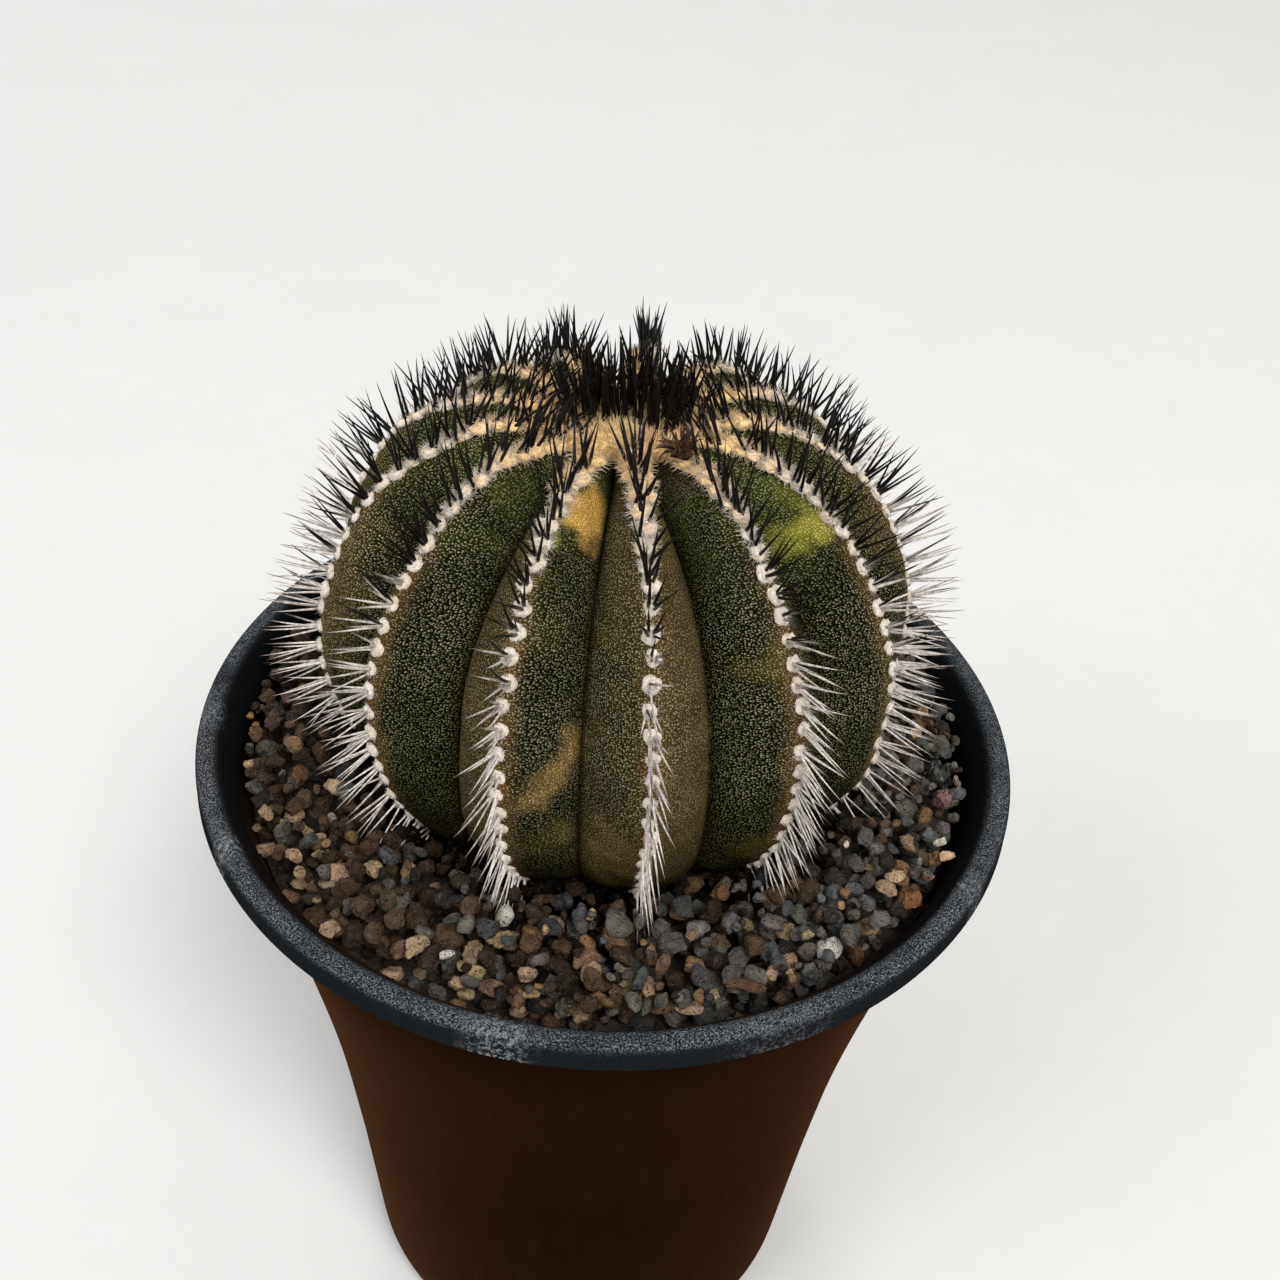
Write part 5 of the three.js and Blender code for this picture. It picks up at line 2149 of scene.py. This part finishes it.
@dataclass(frozen=True)
class Crown:
    """Golden wool and upright black spines on top of the body."""

    centre: Pair = (1.2, 1.8)
    # polar angles to which the wool reaches in the furrows and on the crests
    wool_reach: Pair = (16.5, 22.5)
    # the open heap in front of the tuft: azimuth, distance from the axis, half width and
    # depth, rise
    heap: tuple[float, float, float, float, float] = (-10.0, 10.0, 4.2, 4.0, 1.7)
    lumps: int = 250
    hairs: int = 10800
    hair_length: float = 2.0
    hair_radius: Pair = (0.045, 0.075)
    spine_count: int = 150
    spine_reach: float = 10.6
    spine_length: float = 12.6
    spine_radius: float = 0.45
    lean: float = 25.0
    # sector kept clear of spines: azimuth from and to, smallest radius
    clear: Triple = (-42.0, 16.0, 4.0)
    # the same around the dried flower: azimuth, distance from the axis and reach
    flower_clear: Triple = (31.0, 16.0, 6.5)
    dome: float = 38.0
    # short spines on the wool, their roots and tips: azimuth and distance from the axis
    fallen_roots: tuple = ((-35.0, 14.2), (-33.5, 13.4), (-36.5, 15.0))
    fallen_tips: tuple = ((-28.0, 11.4), (-24.0, 11.8), (-25.0, 12.9))
    # heights of those roots and tips, and the spines' radius and ink
    fallen_look: tuple[float, float, float, float] = (37.9, 39.0, 0.2, 0.62)

    def ground(self, x: Array, y: Array) -> Array:
        """Points of the body's top."""
        return np.stack([x, y, np.sqrt(self.dome**2 - x * x - y * y)], axis=-1)

    def wool(
        self, body: RibbedBody, plant: PlantFrame, kits: KitShapes, grower: Grower, material: Material
    ) -> None:
        """The golden felt.

        Args:
            body: the ribbed body.
            plant: where the plant stands.
            kits: shapes of the repeats.
            grower: makes the repeats.
            material: the felt.
        """
        rng = dice(300)
        crops = []
        around = rng.uniform(0, 2 * math.pi, self.lumps)
        rib, offset = body.locate(around)
        low, high = self.wool_reach
        reach = low + (high - low) * smoothstep(0.75, 0.15, np.abs(offset))
        polar = reach * np.sqrt(rng.uniform(0, 1, self.lumps))
        place = body.surface(polar, rib, offset)
        out = unit(place)
        size = rng.uniform(1.0, 1.9, (self.lumps, 1)) * np.array([1.0, 1.0, 0.8])
        azimuth, distance, wide, deep, rise = self.heap
        ahead = outward(np.radians(azimuth))[:2]
        apart = place[:, :2] - ahead * distance
        beside = apart @ outward(np.radians(azimuth + 90))[:2]
        heaped = np.exp(-((beside / wide) ** 2) - (apart @ ahead / deep) ** 2)
        swell = 0.9 * smoothstep(5, 12, polar) + rise * heaped
        gold = 1.1 - 0.35 * smoothstep(15, 22, polar) + rng.normal(0, 0.12, self.lumps)
        gold = np.clip(gold, 0, 1.2)
        crops.append(
            Crop(
                place + out * swell[:, None],
                turns_along(out, rng.normal(size=out.shape)),
                size,
                rng.integers(0, KitShapes.LUMPS, self.lumps),
                {"tint": rng.uniform(0.2, 0.9, self.lumps), "gold": gold},
            )
        )
        pick = rng.integers(0, self.lumps, self.hairs)
        way = unit(out[pick] * 0.8 + rng.normal(0, 0.75, (self.hairs, 3)))
        root = crops[0].places[pick] + way * size[pick] * 0.8
        length = self.hair_length * rng.uniform(0.5, 1.3, self.hairs)
        thick = rng.uniform(*self.hair_radius, self.hairs)
        crops.append(
            Crop(
                root,
                turns_along(way, rng.normal(size=way.shape)),
                slender(thick, length),
                KitShapes.LUMPS + rng.integers(0, KitShapes.HAIRS, self.hairs),
                {
                    "tint": rng.uniform(0.1, 1.5, self.hairs),
                    "gold": gold[pick] * rng.uniform(0.5, 1.2, self.hairs),
                },
            )
        )
        crop = plant.place(Crop.joined(crops))
        piece = grower.grow("crown_felt", crop, kits.felt, material, SEED + 61, 0.1)
        finish_piece(piece, ["crown_wool"], "golden felt")

    def spines(self, plant: PlantFrame, kits: KitShapes, grower: Grower, material: Material) -> None:
        """The upright tuft.

        Args:
            plant: where the plant stands.
            kits: shapes of the repeats.
            grower: makes the repeats.
            material: the horn.
        """
        rng = dice(301)
        number = np.arange(self.spine_count) + 0.5
        radius = self.spine_reach * np.sqrt(number / self.spine_count)
        angle = number * math.pi * (3 - math.sqrt(5)) + rng.normal(0, 0.18, self.spine_count)
        low, high, inner = self.clear
        facing = (np.degrees(angle) + 180) % 360 - 180
        kept = ~((facing > low) & (facing < high) & (radius > inner))
        azimuth, distance, reach = self.flower_clear
        apart = outward(angle) * radius[:, None] - outward(np.radians(azimuth)) * distance
        kept &= np.linalg.norm(apart, axis=1) > reach
        radius, angle = radius[kept], angle[kept]
        spot = outward(angle) * radius[:, None] + [*self.centre, 0.0]
        root = self.ground(spot[:, 0], spot[:, 1])
        tilt = np.radians(self.lean * (radius / self.spine_reach) + rng.normal(0, 5, len(radius)))
        turn = angle + rng.normal(0, 0.35, len(angle))
        way = outward(turn) * np.sin(tilt)[:, None]
        way[:, 2] = np.cos(tilt)
        length = self.spine_length * rng.uniform(0.84, 1.08, len(root))
        thick = self.spine_radius * rng.uniform(0.8, 1.15, len(root))
        crop = Crop(
            root,
            turns_along(unit(way), -outward(turn) + rng.normal(0, 0.4, way.shape)),
            slender(thick, length),
            rng.integers(0, KitShapes.SPINES, len(root)),
            {"ink": np.full(len(root), 1.2), "tint": rng.uniform(0, 1, len(root))},
        )
        crop = Crop.joined([crop, self.fallen(rng)])
        piece = grower.grow("crown_tuft", plant.place(crop), kits.spine, material, SEED + 62, 0.03)
        finish_piece(piece, ["crown_spines"], "upright spines")

    def fallen(self, rng: Rng) -> Crop:
        """The short reddish spines that lie on the wool in front.

        Args:
            rng: source of random numbers.

        Returns:
            The repeats.
        """
        low, high, radius, ink = self.fallen_look
        roots, tips = np.array(self.fallen_roots).T, np.array(self.fallen_tips).T
        root = outward(np.radians(roots[0])) * roots[1][:, None] + [0, 0, low]
        tip = outward(np.radians(tips[0])) * tips[1][:, None] + [0, 0, high]
        count = len(root)
        length = np.linalg.norm(tip - root, axis=1)
        turn = turns_along(unit(tip - root), np.tile([0, 0, 1.0], (count, 1)))
        drawn = {"ink": np.full(count, ink), "tint": rng.uniform(0, 1, count)}
        return Crop(root, turn, slender(np.full(count, radius), length), np.arange(count), drawn)


@dataclass(frozen=True)
class DriedFlower:
    """The frayed rest of a flower on the crown's edge."""

    azimuth: float = 31.0
    radius: float = 18.0
    height: float = 41.4
    petals: int = 64
    petal_length: Pair = (1.8, 4.6)
    petal_width: float = 0.60
    thickness: float = 0.07
    core: Triple = (1.6, 1.3, 1.1)

    def petal(self, rng: Rng, angle: float) -> tuple[Array, list]:
        """One curled, frayed strip.

        Args:
            rng: source of random numbers.
            angle: the way it points.

        Returns:
            Points and faces in the plant's frame, around the core.
        """
        rows = 8
        t = np.linspace(0, 1, rows)
        length = rng.uniform(*self.petal_length)
        lift, curl = rng.uniform(0.2, 1.1), rng.uniform(-1.9, 1.3)
        slope = lift + curl * t + 0.25 * np.sin(5 * t + rng.uniform(0, 6))
        run = np.cumsum(np.cos(slope)) * length / rows
        rise = np.cumsum(np.sin(slope)) * length / rows
        way = outward(np.array([angle + rng.normal(0, 0.2)]))[0]
        side = np.cross([0, 0, 1.0], way)
        middle = run[:, None] * way + rise[:, None] * np.array([0, 0, 1.0])
        twist = np.cumsum(rng.normal(0, 0.22, rows))
        across = np.cos(twist)[:, None] * side + np.sin(twist)[:, None] * np.array([0, 0, 1.0])
        above = np.cross(np.gradient(middle, axis=0), across)
        half = self.petal_width / 2 * np.sin(np.pi * (0.18 + 0.78 * t)) * rng.uniform(0.6, 1.4)
        half = half * (1 + 0.22 * np.sin(9 * t + rng.uniform(0, 6)))
        thick = unit(above) * self.thickness
        ring = [
            middle + across * half[:, None] - thick,
            middle + thick * 1.5,
            middle - across * half[:, None] - thick,
            middle - thick,
        ]
        points = np.stack(ring, axis=1).reshape(-1, 3)
        faces = grid_faces(rows, 4).tolist()
        faces += [[0, 1, 2, 3], [4 * rows - 1, 4 * rows - 2, 4 * rows - 3, 4 * rows - 4]]
        return points, faces

    def build(self, plant: PlantFrame, material: Material) -> None:
        """The finished flower.

        Args:
            plant: where the plant stands.
            material: dried husk.
        """
        rng = dice(310)
        sphere, faces = icosphere(3)
        core = sphere * (1 + 0.2 * Ripple(SEED + 311, 1.0)(sphere))[:, None] * self.core
        shapes = [(core, faces)]
        for number in range(self.petals):
            points, sides = self.petal(rng, number * 2 * math.pi / self.petals * 1.9)
            shapes.append((points + [rng.normal(0, 0.5), rng.normal(0, 0.4), 0.3], sides))
        all_points, all_faces, tints = [], [], []
        base = 0
        for points, sides in shapes:
            all_points.append(points)
            all_faces += [[i + base for i in face] for face in sides]
            tints.append(np.full(len(points), rng.uniform(0, 1)))
            base += len(points)
        spot = outward(np.radians(self.azimuth)) * self.radius
        spot[2] = self.height
        points = plant.to_part(np.concatenate(all_points) + spot)
        piece = make_object("flower_rest", points, all_faces)
        put_attribute(piece.data, "tint", "FLOAT", np.concatenate(tints))
        piece.data.materials.append(material)
        finish_piece(piece, ["dried_flower"], "frayed petals")


# ---------- the whole ----------


class PottedCactus:
    """The pot, its grit and the plant."""

    def __init__(self) -> None:
        """Sets out the sizes and the grower of repeats."""
        self.pot = Pot()
        self.grit = GritBed()
        self.plant = PlantFrame()
        self.body = RibbedBody()
        self.rows = AreoleRows()
        self.crown = Crown()
        self.flower = DriedFlower()
        self.grower = Grower()

    def build(self) -> None:
        """Builds every piece."""
        wool, horn = WoolFinish().build(), SpineFinish().build()
        stone = StoneFinish().build()
        cool = PotFinish(name="pot_rim", sheen=0.012)
        self.pot.build(PotFinish().build(), cool.build())
        keep_off = self.body.outline(self.plant, self.grit.level + 0.8)
        soil = PlainFinish("grit_soil", colour=(0.030, 0.022, 0.017), patch=2.5, depth=0.7).build()
        self.grit.bed(self.pot, keep_off, soil)
        self.grit.stones(self.pot, keep_off, self.grower, stone)
        self.body.build(self.plant, SkinFinish().build())
        kits = KitShapes()
        self.rows.build(self.body, self.plant, kits, self.grower, wool, horn)
        self.crown.wool(self.body, self.plant, kits, self.grower, wool)
        self.crown.spines(self.plant, kits, self.grower, horn)
        self.flower.build(self.plant, HuskFinish().build())
        kits.clear()


@dataclass(frozen=True)
class Studio:
    """Pale floor, soft light and the photograph's camera. Lengths are metres here."""

    lens: float = 39.06
    place: Triple = (0.0, -0.195916, 0.327092)
    right: Triple = (0.99797157, 0.02290408, 0.05939816)
    up: Triple = (-0.06071897, 0.62282803, 0.77999901)
    forward: Triple = (0.01912968, 0.78202343, -0.62295538)
    sensor: float = 36.0
    floor_size: float = 6.0
    world: Triple = (1.0, 0.985, 0.96)
    world_strength: float = 0.60
    paper: Triple = (0.60, 0.60, 0.60)
    # name, place, aim, width, power in watts, colour
    lamps: tuple = (
        ("key", (1.1, -2.1, 3.2), (0.0, 0.1, 0.1), 1.5, 132.0, (1.0, 0.985, 0.96)),
        ("fill", (-2.6, -1.8, 2.6), (0.0, 0.1, 0.1), 2.0, 56.0, (0.96, 0.98, 1.0)),
        ("back", (-0.8, 2.9, 2.9), (0.0, 0.1, 0.1), 1.8, 33.0, (1.0, 0.99, 0.97)),
    )

    def build(self) -> None:
        """Places floor, lamps, world and camera."""
        self.floor()
        self.light()
        self.camera()

    def floor(self) -> None:
        """The pale, flat floor."""
        half = self.floor_size / 2 / MM
        grid = np.linspace(-half, half, 25)
        x, y = np.meshgrid(grid, grid)
        points = np.stack([x, y, 0 * x], axis=-1).reshape(-1, 3)
        faces = [f[::-1] for f in grid_faces(25, 25, closed=False).tolist()]
        floor = make_object("floor", points, faces)
        paper = PlainFinish("floor_paper", roughness=0.9, specular=0.1, colour=self.paper)
        floor.data.materials.append(paper.build())

    def light(self) -> None:
        """Soft lamps and an even surround."""
        for name, place, aim, width, power, colour in self.lamps:
            lamp = bpy.data.lights.new(name, "AREA")
            lamp.shape, lamp.size, lamp.energy, lamp.color = "DISK", width, power, colour
            shown = show(bpy.data.objects.new(name, lamp))
            shown.location = place
            shown.rotation_euler = (Vector(aim) - Vector(place)).to_track_quat("-Z", "Y").to_euler()
        world = bpy.data.worlds.new("surround")
        world.use_nodes = True
        backdrop = world.node_tree.nodes["Background"]
        backdrop.inputs["Color"].default_value = (*self.world, 1.0)
        backdrop.inputs["Strength"].default_value = self.world_strength
        bpy.context.scene.world = world

    def camera(self) -> None:
        """The camera that was fitted to the photograph."""
        lens = bpy.data.cameras.new("view")
        lens.lens, lens.sensor_width, lens.clip_start = self.lens, self.sensor, 0.01
        camera = show(bpy.data.objects.new("view", lens))
        axes = np.stack([self.right, self.up, -np.array(self.forward)], axis=-1)
        turn = Matrix(axes.tolist()).to_quaternion()
        camera.matrix_world = Matrix.LocRotScale(Vector(self.place), turn, None)
        bpy.context.scene.camera = camera
        bpy.context.scene.view_settings.view_transform = "Standard"


def main() -> None:
    """Builds the object and the studio."""
    PottedCactus().build()
    Studio().build()


if __name__ == "__main__":
    main()
